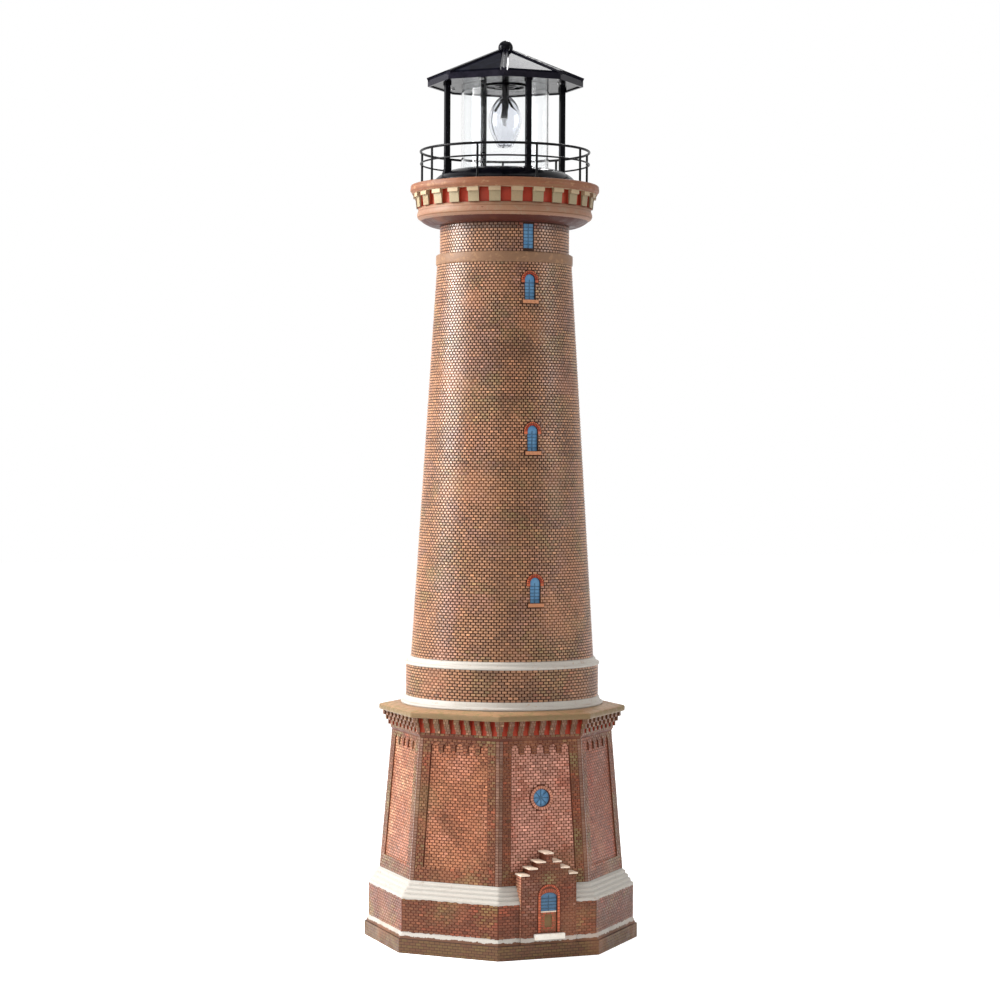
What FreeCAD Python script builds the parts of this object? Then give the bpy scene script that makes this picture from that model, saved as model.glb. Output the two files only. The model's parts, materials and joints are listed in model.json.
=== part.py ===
import FreeCAD, Part
import math
import os

# A garden lighthouse, millimetres. Z is up, the door faces -Y, and the origin is the middle of the
# footing's underside. Octagon radii are measured to the corners, and a flat side faces the door's way.

# Octagonal base casting
sides = 8
footing_radius = 137.5
footing_height = 14.0
kerb_radius = 136.0          # the sloped kerb between footing and plinth
kerb_height = 6.0
plinth_radius = 133.5
plinth_height = 33.0
moulding_steps = 4           # the stepped moulding above the plinth
moulding_height = 16.0
body_bottom_radius = 122.5
body_top_radius = 110.5
body_height = 139.0
frieze_height = 5.0
frieze_projection = 1.5
frieze_bevel = 2.5           # height over which the frieze steps out
corbel_courses = 3           # stepped brick teeth under the ledge
corbel_height = 4.9
corbel_step = 2.6
corbel_gap_count = 8         # gaps between the teeth on each side
corbel_gap_width = 5.3
ledge_radius = 123.5
ledge_thickness = 5.5
ledge_chamfer = 1.2
ledge_rise = 2.5
ledge_lap = 8.0              # how far the ledge's sloped top reaches out from the lower band
base_wall = 7.0

# Recessed panel on each side of the base
pilaster_width = 12.5
panel_depth = 1.2
panel_sill = 13.0            # up the wall from the moulding
panel_arches = 5
panel_arch_radius = 3.9
panel_arch_margin = 4.2      # from the crowns to the frieze
panel_corbel_drop = 5.2      # from the arches' springing to the corbel ends
panel_arch_lap = 0.5         # of each arch into the field below it
round_window_radius = 8.6
round_window_height = 83.5   # up the wall from the moulding
round_window_rim = 3.4
round_window_proud = 1.9     # of the panel's floor
round_window_depth = 2.2     # below the panel's floor

# Porch with its stepped gable
porch_projection = 3.2       # from the plinth's flat side
porch_width = 57.4
porch_height = 61.6
gable_steps = 2
gable_tread = 8.4
gable_rise = 6.1
gable_top_rise = 8.2
cap_overhang = 0.9
cap_thickness = 1.4
door_width = 17.0
door_sill = 5.0              # above the kerb
door_height = 38.4
door_arch_rise = 2.4
door_depth = 2.4
door_leaf_height = 19.8
door_leaf_rail = 5.0         # below the leaf's sunk panel
door_leaf_head = 4.0         # above it
door_leaf_field = 0.4        # the sunk panel's share of the leaf's width
door_frame_width = 2.9
door_frame_height = 46.6
door_frame_proud = 0.7
step_width = 31.0
step_height = 5.3
step_projection = 4.2
step_drop = 1.1              # of the slab's underside below the kerb's top

# Round tower casting
band_bottom_radius = 101.0
band_top_radius = 97.3
band_height = 8.0
drum_radius = 96.3
drum_height = 32.0
shoulder_height = 7.0
shoulder_top_radius = 92.4
shaft_bottom_radius = 91.4
shaft_top_radius = 67.3
shaft_height = 391.3
collar_radius = 68.4
collar_height = 10.0
neck_radius = 64.5
neck_height = 29.0
tower_wall = 6.0
spigot_length = 10.0
spigot_inset = 10.0          # of the tower's spigot from the drum's surface
spigot_wall = 5.0
spigot_clearance = 0.15
band_fillet_height = 1.6     # the raised fillet round the lower band
band_fillet = 0.8
bead_projection = 1.2        # the upper band's two beads
lower_bead_projection = 1.6
collar_chamfer = 0.6

# Windows up the tower, all above the door
window_width = 10.6
window_height = 25.0
window_first_sill = 57.2     # above the shaft's foot
window_pitch = 148.4
window_depth = 3.0
window_arch_width = 3.7
window_arch_leg = 3.2        # how far the arch runs down beside the opening
window_arch_proud = 0.8
sill_width = 17.0
sill_height = 3.8
sill_proud = 1.8
neck_window_width = 10.4
neck_window_height = 24.0
neck_window_sill = 3.4       # above the collar
neck_window_depth = 2.4
pane_thickness = 1.2
pane_clearance = 0.15
muntin_width = 0.9
muntin_proud = 0.5
muntin_pitch = 3.6

# Gallery casting
gallery_foot_radius = 72.0
flare_radius = 85.3
flare_height = 7.0
flare_hollow = 2.2           # height of the flare's curve at its middle
torus_radius = 87.8
torus_height = 8.0
waist_radius = 86.2
waist_height = 3.0
dentil_count = 26
dentil_radius = 89.6
dentil_batter = 1.0          # how far a tooth's foot lies inside its head
dentil_height = 10.0
dentil_gap = 10.4
dentil_gap_depth = 5.2
dentil_cap_radius = 91.8
dentil_cap_height = 4.0
lip_radius = 94.5
lip_height = 9.0
lip_step = 1.4               # the fillet under the lip
lip_edge = 1.6

# Gallery railing
railing_radius = 84.5
railing_posts = 9
railing_post_wire = 2.3      # diameters; the mid rail runs through the posts
top_rail_wire = 2.5
mid_rail_wire = 1.7
top_rail_height = 34.0       # above the deck
mid_rail_height = 21.8
post_socket = 4.0
post_foot_radius = 2.2
post_foot_height = 1.4

# Lantern base and the housing below it
seat_gap = 0.3               # between pieces of different bodies that rest on each other
rim_radius = 72.0
rim_thickness = 3.4
dome_radius = 48.5
dome_rise = 11.6
dome_camber = 3.0            # of the dome's curve from its chord
disc_recess = 0.8            # the floor inside the tube, below the dome's crown
housing_radius = 50.0
housing_wall = 2.0
housing_depth = 38.0         # below the deck
housing_clearance = 0.6
deck_plate = 6.0             # thickness over the housing
tube_radius = 43.9
tube_wall = 1.8
tube_groove = 1.5
tube_clearance = 0.1
lantern_post_width = 5.0
lantern_post_radius = 62.0   # from the axis to a post's middle
lantern_posts = 4
lantern_post_collar = 0.7    # how far the collars stand out of a post
lantern_collar_height = 3.0
post_foot_rise = 7.6         # of the posts' feet above the rim
post_pad_margin = 0.6
post_socket_clearance = 0.1
post_bore_radius = 1.25
post_bore_depth = 14.0
post_screw_grip = 12.0       # how far the lower screw goes into its post
ceiling_screw_grip = 9.0     # and the upper one

# Roof
roof_radius = 78.0
eave_drop = 99.5             # from the deck up to the underside of the eaves
fascia_height = 6.0
roof_rise = 31.4
roof_wall = 2.2
rib_width = 5.4
rib_height = 2.6
rib_groove = 1.5
rib_groove_depth = 1.0
rib_sink = 1.6               # how far a rib reaches into the roof
rib_inner = 7.2              # from the axis to a rib's upper end
panel_thickness = 1.4
panel_margin = 1.1
panel_foot = 2.4
panel_length = 60.0
soffit_thickness = 2.0
soffit_recess = 1.0
soffit_clearance = 0.3
ceiling_ring_radius = 21.0
ceiling_ring_wall = 2.0
stem_ring_radius = 10.5
stem_ring_wall = 1.5
ceiling_ring_drop = 1.4
thrust_ring_wall = 2.0
thrust_ring_margin = 1.0     # from the spindle to the thrust ring
spindle_hole_margin = 0.5
roof_boss_inset = 14.0       # from the middle of an eave to a screw boss
roof_boss_wall = 0.9
roof_screw_grip = 4.0
ball_radius = 7.4
ball_collar_radius = 6.4
ball_collar_height = 0.3
ball_neck_radius = 6.1
ball_screw_radius = 2.4
ball_screw_length = 5.5

# Beacon: a lens that turns round a fixed lamp stem, driven from inside the roof
stem_radius = 2.3
stem_bore_radius = 1.5
stem_flange_width = 1.7
stem_flange_height = 1.5
bearing_clearance = 0.06
spindle_radius = 3.5
spindle_length = 16.2        # below the soffit
lamp_holder_length = 16.0
led_radius = 2.5
led_length = 7.0
led_flange_width = 0.4
led_flange_height = 1.0
arm_spread = 10.4
arm_drop = 11.0
arm_width = 2.0
lens_radius = 16.5
lens_wall = 1.4
lens_top = 11.4              # below the soffit
lens_height = 50.0
lens_neck_radius = 5.9
lens_waist = 22.5            # from the lens's top down to its widest place
lens_foot_radius = 9.1
lens_tip_radius = 5.4
lens_foot_height = 3.0
lens_skirt_radius = 11.1
lens_skirt_height = 8.0
bullseye_radius = 10.0
bullseye_bulge = 2.4
gear_module = 0.6
gear_addendum = 0.9          # in modules
gear_dedendum = 1.2
gear_root_share = 0.27       # of the tooth pitch, half a tooth's width at its root
gear_tip_share = 0.10        # and at its tip
gear_teeth = 36
pinion_teeth = 10
gear_thickness = 3.0
gear_lift = 1.0              # above the soffit
gear_backlash = 0.12
motor_radius = 6.0
motor_height = 12.0
motor_boss_radius = 2.0
motor_boss_height = 0.8
motor_shaft_radius = 0.75
motor_shaft_reach = 8.4      # into the motor
motor_shaft_end_gap = 0.3
bracket_thickness = 2.0
bracket_height = 7.2         # from the soffit to the top of the bracket
bracket_width = 14.0
bracket_leg = 4.0
bracket_margin = 1.0         # of the bracket's tongue round the motor
bracket_gear_gap = 0.6       # from the large gear's tip to the bracket's legs
shaft_hole_margin = 0.5

# Power, inside the housing
housing_plate = 2.0          # the housing's floor
cell_radius = 7.25
cell_length = 50.5
cell_count = 2
cell_clearance = 0.4
cell_button_length = 1.0
cell_button_radius = 2.75
contact_width = 10.2
contact_rise = 2.0           # of the contacts' lower edge above the housing's floor
tray_wall = 1.6
board_length = 46.0
board_width = 30.0
board_thickness = 1.6
board_drop = 3.0             # below the lantern base's plate
board_hole_inset = 4.0
pillar_radius = 2.0
pillar_inset = 3.0           # from the board's corners
pillar_lap = 0.5             # of pillars and bosses into the lantern base's plate
chip_length = 8.0
chip_width = 6.0
chip_height = 1.6
coil_radius = 3.2
coil_x = 13.0
coil_y = 5.0
capacitor_radius = 2.4
capacitor_x = -13.0
capacitor_y = -4.0
can_height = 3.0
door_lip = 3.0
battery_door_thickness = 1.8
door_grip_length = 22.3
door_grip_width = 2.4
door_grip_height = 2.2
switch_length = 14.0
switch_width = 6.0
switch_height = 5.0
switch_offset = 31.0
switch_roof = 1.5
knob_length = 4.0
knob_width = 2.6
knob_drop = 2.2
knob_clearance = 0.4
knob_head_gap = 0.3
knob_grooves = 3
knob_groove_width = 0.4
knob_groove_pitch = 1.0
knob_groove_start = 0.8
switch_travel = 3.0

# Fasteners
screw_radius = 1.5
screw_head_radius = 2.9
screw_head_height = 1.6
screw_clearance = 0.2
screw_seat_depth = 0.4       # of a head below its surface
screw_slot_width = 0.8
screw_slot_reach = 0.7       # the cross slot's share of the head's radius
screw_slot_depth = 0.5       # and of its height
small_screw_radius = 1.1
small_head_radius = 2.1
small_head_height = 1.2
floor_screw_count = 3
floor_screw_grip = 8.5
floor_screw_inset = 5.3      # from the housing's outside to a floor screw
floor_boss_wall = 0.9
base_screws = 8
base_screw_grip = 8.5
screw_tip_gap = 0.5          # between a screw's tip and the end of its hole
base_plate = 4.0
base_plate_lap = 9.0         # how far the plate runs under the casting's wall
base_plate_clearance = 0.4

origin = FreeCAD.Vector(0, 0, 0)
up = FreeCAD.Vector(0, 0, 1)
half_side = math.pi / sides


def apothem(radius):
    return radius * math.cos(half_side)


def side_length(radius):
    return 2 * radius * math.sin(half_side)


porch_front = apothem(plinth_radius) + porch_projection
porch_back = apothem(body_bottom_radius) - base_wall

# Heights of the tower's joints and bands
kerb_z = footing_height
plinth_z = kerb_z + kerb_height
moulding_z = plinth_z + plinth_height
body_z = moulding_z + moulding_height
frieze_z = body_z + body_height
corbel_z = frieze_z + frieze_height
ledge_z = corbel_z + corbel_courses * corbel_height
ledge_edge_z = ledge_z + ledge_thickness
base_top_z = ledge_edge_z + ledge_rise
drum_z = base_top_z + band_height
shoulder_z = drum_z + drum_height
shaft_z = shoulder_z + shoulder_height
collar_z = shaft_z + shaft_height
neck_z = collar_z + collar_height
gallery_z = neck_z + neck_height
torus_z = gallery_z + flare_height
waist_z = torus_z + torus_height
dentil_z = waist_z + waist_height
dentil_cap_z = dentil_z + dentil_height
lip_z = dentil_cap_z + dentil_cap_height
deck_z = lip_z + lip_height

# Heights of the lantern
lantern_z = deck_z + seat_gap
rim_z = lantern_z + rim_thickness
post_foot_z = rim_z + post_foot_rise
dome_z = rim_z + dome_rise
tube_z = dome_z - tube_groove
plate_z = dome_z - deck_plate
housing_z = deck_z - housing_depth
eave_z = deck_z + eave_drop
soffit_z = eave_z + soffit_recess
soffit_top_z = soffit_z + soffit_thickness
roof_z = eave_z + fascia_height
roof_slope = math.degrees(math.atan2(roof_rise, apothem(roof_radius)))
hip_slope = math.degrees(math.atan2(roof_rise, roof_radius))
apex_z = roof_z + roof_rise * (1 - ball_collar_radius / apothem(roof_radius))

# Heights of the beacon
gear_z = soffit_top_z + gear_lift
gear_top_z = gear_z + gear_thickness
bracket_z = soffit_top_z + bracket_height
spindle_z = soffit_z - spindle_length
holder_z = spindle_z - seat_gap
lens_top_z = soffit_z - lens_top
lens_bottom_z = lens_top_z - lens_height
gear_distance = gear_module * (gear_teeth + pinion_teeth) / 2 + gear_backlash
gear_tip_radius = gear_module * gear_teeth / 2 + gear_addendum * gear_module
bracket_foot_x = gear_tip_radius + bracket_gear_gap + bracket_leg / 2
roof_boss_radius = apothem(roof_radius) - roof_boss_inset
floor_screw_radius = housing_radius - floor_screw_inset
board_top_z = plate_z - board_drop

# Battery tray
tray_half_x = cell_length / 2 + cell_clearance + tray_wall
tray_half_y = cell_count * (cell_radius + cell_clearance / 2) + tray_wall
tray_z = housing_z + housing_plate
tray_top_z = tray_z + 2 * cell_radius + 2 * cell_clearance + tray_wall

# The leaning walls
wall_lean = math.degrees(math.atan2(apothem(body_bottom_radius) - apothem(body_top_radius), body_height))
wall_length = body_height / math.cos(math.radians(wall_lean))


def outline(points):
    # Closed face in the XZ plane. A point (x, z) is reached straight, and (x, z, via_x, via_z) by an arc.
    edges = []
    for here, there in zip(points, points[1:] + points[:1]):
        start = FreeCAD.Vector(here[0], 0, here[1])
        end = FreeCAD.Vector(there[0], 0, there[1])
        if len(there) == 4:
            edges.append(Part.Arc(start, FreeCAD.Vector(there[2], 0, there[3]), end).toShape())
        else:
            edges.append(Part.LineSegment(start, end).toShape())
    return Part.Face(Part.Wire(edges))


def turned(points):
    return outline(points).revolve(origin, up, 360)


def plate(points, front, back):
    # The outline as a slab from y = front to y = back
    face = outline(points)
    face.translate(FreeCAD.Vector(0, front, 0))
    return face.extrude(FreeCAD.Vector(0, back - front, 0))


def slab(half_x, half_y, z0, z1):
    return block(-half_x, half_x, -half_y, half_y, z0, z1)


def bar(x0, x1, y0, y1, z0, z1):
    # A block whose x limits may come in either order
    return block(min(x0, x1), max(x0, x1), y0, y1, z0, z1)


def block(x0, x1, y0, y1, z0, z1):
    return Part.makeBox(x1 - x0, y1 - y0, z1 - z0, FreeCAD.Vector(x0, y0, z0))


def rod(radius, z0, z1, x=0.0, y=0.0):
    return Part.makeCylinder(radius, z1 - z0, FreeCAD.Vector(x, y, z0))


def tube(outer, inner, z0, z1):
    return rod(outer, z0, z1).cut(rod(inner, z0 - 1, z1 + 1))


def spun(shape, degrees):
    copy = shape.copy()
    copy.rotate(origin, up, degrees)
    return copy


def around(shape, count, start=0.0):
    return [spun(shape, start + 360.0 * k / count) for k in range(count)]


def moved(shape, x=0.0, y=0.0, z=0.0):
    copy = shape.copy()
    copy.translate(FreeCAD.Vector(x, y, z))
    return copy


def corner(radius, z, k):
    angle = (2 * k + 1) * half_side
    return FreeCAD.Vector(radius * math.cos(angle), radius * math.sin(angle), z)


def faceted(profile):
    # Closed solid of flat faces through one octagon for each (corner radius, z), from the bottom up
    rings = [[corner(radius, z, k) for k in range(sides)] for radius, z in profile]
    faces = [Part.Face(Part.makePolygon(ring + ring[:1])) for ring in (rings[0], rings[-1])]
    for lower, upper in zip(rings, rings[1:]):
        for k in range(sides):
            n = (k + 1) % sides
            side = [lower[k], lower[n], upper[n], upper[k], lower[k]]
            faces.append(Part.Face(Part.makePolygon(side)))
    shell = Part.makeShell(faces)
    shell.sewShape()
    solid = Part.makeSolid(shell)
    if solid.Volume < 0:
        solid.reverse()
    return solid


def on_wall(shape):
    # From a flat frame, y = 0 on the wall and z up the wall, to the base's leaning door side
    copy = shape.copy()
    copy.rotate(origin, FreeCAD.Vector(1, 0, 0), -wall_lean)
    copy.translate(FreeCAD.Vector(0, -apothem(body_bottom_radius), body_z))
    return copy


def arched(width, bottom, crown):
    half = width / 2
    spring = crown - half
    return [(-half, bottom), (half, bottom), (half, spring), (-half, spring, 0, crown)]


def segmental(width, bottom, crown, rise):
    half = width / 2
    return [(-half, bottom), (half, bottom), (half, crown - rise), (-half, crown - rise, 0, crown)]


def muntins(width, bottom, top, front):
    # One upright bar and level bars across a pane whose face is at y = front
    bars = [block(-muntin_width / 2, muntin_width / 2, front - muntin_proud, front, bottom, top)]
    count = int((top - bottom) / muntin_pitch)
    pitch = (top - bottom) / (count + 1)
    for k in range(count):
        z = bottom + pitch * (k + 1)
        bars.append(block(-width / 2, width / 2, front - muntin_proud, front,
                          z - muntin_width / 2, z + muntin_width / 2))
    return bars


# Base

def panel_half_width(height):
    share = height / wall_length
    radius = body_bottom_radius + (body_top_radius - body_bottom_radius) * share
    return side_length(radius) / 2 - pilaster_width


arch_spring = wall_length - panel_arch_margin - panel_arch_radius
corbel_end = arch_spring - panel_corbel_drop


def panel_cutters():
    # The recess of one side: a tapered field with a row of small hanging arches along its top
    foot = panel_half_width(panel_sill)
    head = panel_half_width(corbel_end)
    field = [(-foot, panel_sill), (foot, panel_sill), (head, corbel_end), (-head, corbel_end)]
    cutters = [plate(field, -3, panel_depth)]
    reach = panel_half_width(arch_spring) - panel_arch_radius
    for k in range(panel_arches):
        x = -reach + 2 * reach * k / (panel_arches - 1)
        shape = arched(2 * panel_arch_radius, corbel_end - panel_arch_lap, arch_spring + panel_arch_radius)
        cutters.append(moved(plate(shape, -3, panel_depth), x=x))
    return [on_wall(cutter) for cutter in cutters]


def corbel_cutters():
    # Upright gaps through all courses, from outside the widest course back to the frieze
    pitch = side_length(corbel_radius(0)) / corbel_gap_count
    wall = apothem(body_top_radius + frieze_projection)
    half = corbel_gap_width / 2
    front = apothem(corbel_radius(corbel_courses))
    gap = block(-half, half, -front, -wall, corbel_z, ledge_z)
    return [moved(gap, x=pitch * (k - (corbel_gap_count - 1) / 2)) for k in range(corbel_gap_count)]


def corbel_radius(course):
    return body_top_radius + frieze_projection + corbel_step * (course + 1)


def base_profile():
    # Outline of the octagon from the footing up to the ledge, as (corner radius, z)
    profile = [(footing_radius, 0), (footing_radius, footing_height)]
    profile += [(kerb_radius, footing_height), (plinth_radius, plinth_z)]
    step = moulding_height / moulding_steps
    fall = (plinth_radius - body_bottom_radius) / moulding_steps
    for k in range(moulding_steps):
        radius = plinth_radius - fall * k
        profile += [(radius, moulding_z + step * (k + 0.55))]
        profile += [(radius - 0.75 * fall, moulding_z + step * (k + 0.7))]
        profile += [(radius - fall, moulding_z + step * (k + 1))]
    frieze_radius = body_top_radius + frieze_projection
    profile += [(body_top_radius, frieze_z), (frieze_radius, frieze_z + frieze_bevel)]
    profile += [(frieze_radius, corbel_z)]
    for k in range(corbel_courses):
        z = corbel_z + k * corbel_height
        profile += [(corbel_radius(k), z), (corbel_radius(k), z + corbel_height)]
    profile += [(ledge_radius - ledge_chamfer, ledge_z), (ledge_radius, ledge_z + ledge_chamfer)]
    return profile + [(ledge_radius, ledge_edge_z), (band_bottom_radius + ledge_lap, base_top_z)]


def base_cavity():
    # The hollow inside, narrower at the bottom, where the cover plate is screwed on
    top = base_top_z - base_wall - ledge_rise
    wide = plinth_radius - base_wall
    mouth = wide - base_plate_lap
    body_foot = body_bottom_radius - base_wall
    body_head = body_top_radius - base_wall
    shoulder = plinth_z + base_plate_lap / 4
    return faceted([(mouth, -1), (mouth, plinth_z), (wide, shoulder), (wide, moulding_z),
                    (body_foot, body_z), (body_head, frieze_z), (body_head, top)])


def porch():
    # Gable wall with stepped top, each tread carrying a thin overhanging cap
    tops = [plinth_z + porch_height + gable_rise * k for k in range(gable_steps + 1)]
    tops.append(tops[-1] + gable_top_rise)
    front = -porch_front - cap_overhang
    pieces = []
    for k, top in enumerate(tops):
        half = porch_width / 2 - gable_tread * k
        pieces.append(block(-half, half, -porch_front, -porch_back, kerb_z, top))
        inner = half - gable_tread if top < tops[-1] else 0
        for side in (-1, 1):
            pieces.append(bar(side * inner, side * (half + cap_overhang), front, -porch_back,
                              top - cap_thickness, top))
    sill = plinth_z + door_sill
    frame = arched(door_width + 2 * door_frame_width, sill, sill + door_frame_height)
    pieces.append(plate(frame, -porch_front - door_frame_proud, -porch_front + 1))
    return pieces


def door_pocket():
    sill = plinth_z + door_sill
    return plate(segmental(door_width, sill, sill + door_height, door_arch_rise),
                 -porch_front - 3, -porch_front + door_depth)


def round_opening(radius, front, back):
    # Disc square to the leaning wall, from y = front to y = back of the wall's frame
    middle = FreeCAD.Vector(0, front, round_window_height)
    return on_wall(Part.makeCylinder(radius, back - front, middle, FreeCAD.Vector(0, 1, 0)))


def base_screw_places():
    # One screw near the middle of each side
    reach = apothem(plinth_radius - base_wall - base_plate_lap / 2)
    angles = [2 * math.pi * k / base_screws for k in range(base_screws)]
    return [(reach * math.cos(angle), reach * math.sin(angle)) for angle in angles]


def base_plate_radius():
    return plinth_radius - base_wall + 2


def base_casting():
    # Octagonal hollow casting with its porch, panels, corbel teeth and the seat of the tower's spigot
    body = faceted(base_profile())
    cutters = []
    for cutter in panel_cutters() + corbel_cutters():
        cutters += around(cutter, sides)
    body = body.cut(cutters)
    rim_front = panel_depth - round_window_proud
    rim = round_opening(round_window_radius + round_window_rim, rim_front, panel_depth + 1)
    body = body.fuse(porch() + [rim]).removeSplitter()
    floor = panel_depth + round_window_depth
    seat = rod(tower_spigot_radius() + spigot_clearance, base_top_z - 2 * spigot_length, base_top_z + 1)
    cover = faceted([(base_plate_radius(), -1), (base_plate_radius(), base_plate)])
    opening = round_opening(round_window_radius, -3, floor)
    body = body.cut([door_pocket(), opening, base_cavity(), seat, cover])
    top = base_plate + base_screw_grip + screw_tip_gap
    return body.cut([rod(screw_radius, base_plate - 1, top, x, y) for x, y in base_screw_places()])


def base_cover():
    radius = base_plate_radius() - base_plate_clearance
    cover = faceted([(radius, 0), (radius, base_plate)])
    holes = []
    for x, y in base_screw_places():
        holes += [rod(screw_radius + screw_clearance, -1, base_plate + 1, x, y),
                  rod(screw_head_radius + screw_clearance, -1, screw_head_height, x, y)]
    return cover.cut(holes)


def screw(x, y, head_z, length, radius, head_radius, head_height, direction):
    # Flat-head screw with a cross slot. direction is +1 for a shank that points up from head_z.
    head = rod(head_radius, 0, head_height)
    slot = slab(screw_slot_width / 2, head_radius * screw_slot_reach, -1, head_height * screw_slot_depth)
    shape = head.cut([slot, spun(slot, 90)]).fuse(rod(radius, head_height, head_height + length))
    if direction < 0:
        shape.rotate(origin, FreeCAD.Vector(1, 0, 0), 180)
    return moved(shape, x, y, head_z)


def base_cover_screws():
    length = base_plate - screw_head_height + base_screw_grip
    return [screw(x, y, 0, length, screw_radius, screw_head_radius, screw_head_height, 1)
            for x, y in base_screw_places()]


def small_screw(x, y, head_z, length, direction):
    return screw(x, y, head_z, length, small_screw_radius, small_head_radius, small_head_height, direction)


def door_step():
    return block(-step_width / 2, step_width / 2, -porch_front - step_projection, -porch_front,
                 plinth_z - step_drop, plinth_z - step_drop + step_height)


def door_leaf():
    # Lower leaf with one sunk panel
    sill = plinth_z + door_sill
    half = door_width / 2 - pane_clearance
    floor = -porch_front + door_depth
    leaf = block(-half, half, floor - pane_thickness, floor, sill, sill + door_leaf_height)
    field = half * door_leaf_field
    sunk = block(-field, field, floor - pane_thickness - 1, floor - pane_thickness / 2,
                 sill + door_leaf_rail, sill + door_leaf_height - door_leaf_head)
    return leaf.cut(sunk)


def door_window():
    sill = plinth_z + door_sill + door_leaf_height
    crown = plinth_z + door_sill + door_height - pane_clearance
    floor = -porch_front + door_depth
    width = door_width - 2 * pane_clearance
    glass = plate(segmental(width, sill, crown, door_arch_rise), floor - pane_thickness, floor)
    bars = muntins(width, sill, crown - door_arch_rise, floor - pane_thickness)
    return glass.fuse(bars).removeSplitter()


def round_window():
    # Disc with four bars crossing at its middle
    floor = panel_depth + round_window_depth
    radius = round_window_radius - pane_clearance
    front = floor - pane_thickness
    disc = round_opening(radius, front, floor)
    reach = radius - muntin_width
    upright = block(-muntin_width / 2, muntin_width / 2, front - muntin_proud, front,
                    round_window_height - reach, round_window_height + reach)
    middle = FreeCAD.Vector(0, 0, round_window_height)
    bars = []
    for k in range(4):
        spoke = upright.copy()
        spoke.rotate(middle, FreeCAD.Vector(0, 1, 0), 45.0 * k)
        bars.append(on_wall(spoke))
    return disc.fuse(bars).removeSplitter()


# Tower

def shaft_radius(z):
    return shaft_bottom_radius + (shaft_top_radius - shaft_bottom_radius) * (z - shaft_z) / shaft_height


def tower_spigot_radius():
    return drum_radius - spigot_inset


def window_sills():
    return [shaft_z + window_first_sill + window_pitch * k for k in range(3)]


def window_trim(sill):
    # A raised round arch with short legs and a projecting sill, both following the cone of the shaft
    crown = sill + window_height
    reach = -shaft_radius(sill) - 6
    back = -shaft_radius(crown) + 3
    outer = arched(window_width + 2 * window_arch_width, crown - window_width / 2 - window_arch_leg,
                   crown + window_arch_width)
    arch = plate(outer, reach, back).common(shaft_cone(window_arch_proud))
    ledge = block(-sill_width / 2, sill_width / 2, reach, back, sill - sill_height, sill)
    return [arch, ledge.common(shaft_cone(sill_proud))]


def shaft_cone(proud):
    foot = shaft_bottom_radius + proud
    head = shaft_top_radius + proud
    return turned([(0, shaft_z), (foot, shaft_z), (head, collar_z), (0, collar_z)])


def window_floor(sill):
    return -shaft_radius(sill + window_height / 2) + window_depth


def neck_window_floor():
    return -neck_radius + neck_window_depth


def tower_outer():
    # Outline of the tower: lower band with a fillet, drum, upper band of two beads, cone, collar and neck
    bead = shoulder_height / 4
    fillet_z = (base_top_z + drum_z) / 2
    fillet_radius = band_top_radius + band_fillet
    wide = drum_radius + bead_projection
    narrow = shoulder_top_radius + lower_bead_projection
    return [(0, base_top_z), (band_bottom_radius, base_top_z),
            (band_bottom_radius, base_top_z + band_height / 3),
            (fillet_radius, fillet_z), (fillet_radius, fillet_z + band_fillet_height),
            (band_top_radius, drum_z), (drum_radius, drum_z), (drum_radius, shoulder_z),
            (wide, shoulder_z), (wide, shoulder_z + bead),
            (narrow, shoulder_z + 2 * bead), (narrow, shoulder_z + 3 * bead),
            (shoulder_top_radius, shaft_z), (shaft_bottom_radius, shaft_z), (shaft_top_radius, collar_z),
            (collar_radius, collar_z + collar_chamfer), (collar_radius, neck_z - collar_chamfer),
            (neck_radius, neck_z), (neck_radius, gallery_z), (0, gallery_z)]


def tower_casting():
    body = turned(tower_outer())
    for sill in window_sills():
        body = body.fuse(window_trim(sill))
    spigot = rod(tower_spigot_radius(), base_top_z - spigot_length, base_top_z + 1)
    body = body.fuse(spigot).removeSplitter()
    opening = rectangle(neck_window_width, neck_z + neck_window_sill, neck_window_height)
    cutters = [tower_bore(), plate(opening, -neck_radius - 3, neck_window_floor())]
    for sill in window_sills():
        opening = arched(window_width, sill, sill + window_height)
        cutters.append(plate(opening, -shaft_radius(sill) - 8, window_floor(sill)))
    return body.cut(cutters)


def tower_bore():
    inner = tower_spigot_radius() - spigot_wall
    bottom = base_top_z - spigot_length - 1
    neck = neck_radius - tower_wall
    return turned([(0, bottom), (inner, bottom), (inner, shaft_z),
                   (shaft_bottom_radius - tower_wall, shaft_z + tower_wall),
                   (shaft_top_radius - tower_wall, collar_z), (neck, neck_z),
                   (neck, gallery_z + 1), (0, gallery_z + 1)])


def rectangle(width, bottom, height):
    half = width / 2
    return [(-half, bottom), (half, bottom), (half, bottom + height), (-half, bottom + height)]


def tower_window(sill):
    floor = window_floor(sill)
    front = floor - pane_thickness
    width = window_width - 2 * pane_clearance
    crown = sill + window_height - pane_clearance
    glass = plate(arched(width, sill + pane_clearance, crown), front, floor)
    bars = muntins(width, sill + pane_clearance, crown - width / 2, front)
    return glass.fuse(bars).removeSplitter()


def neck_window():
    floor = neck_window_floor()
    front = floor - pane_thickness
    width = neck_window_width - 2 * pane_clearance
    bottom = neck_z + neck_window_sill + pane_clearance
    height = neck_window_height - 2 * pane_clearance
    glass = plate(rectangle(width, bottom, height), front, floor)
    return glass.fuse(muntins(width, bottom, bottom + height, front)).removeSplitter()


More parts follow.
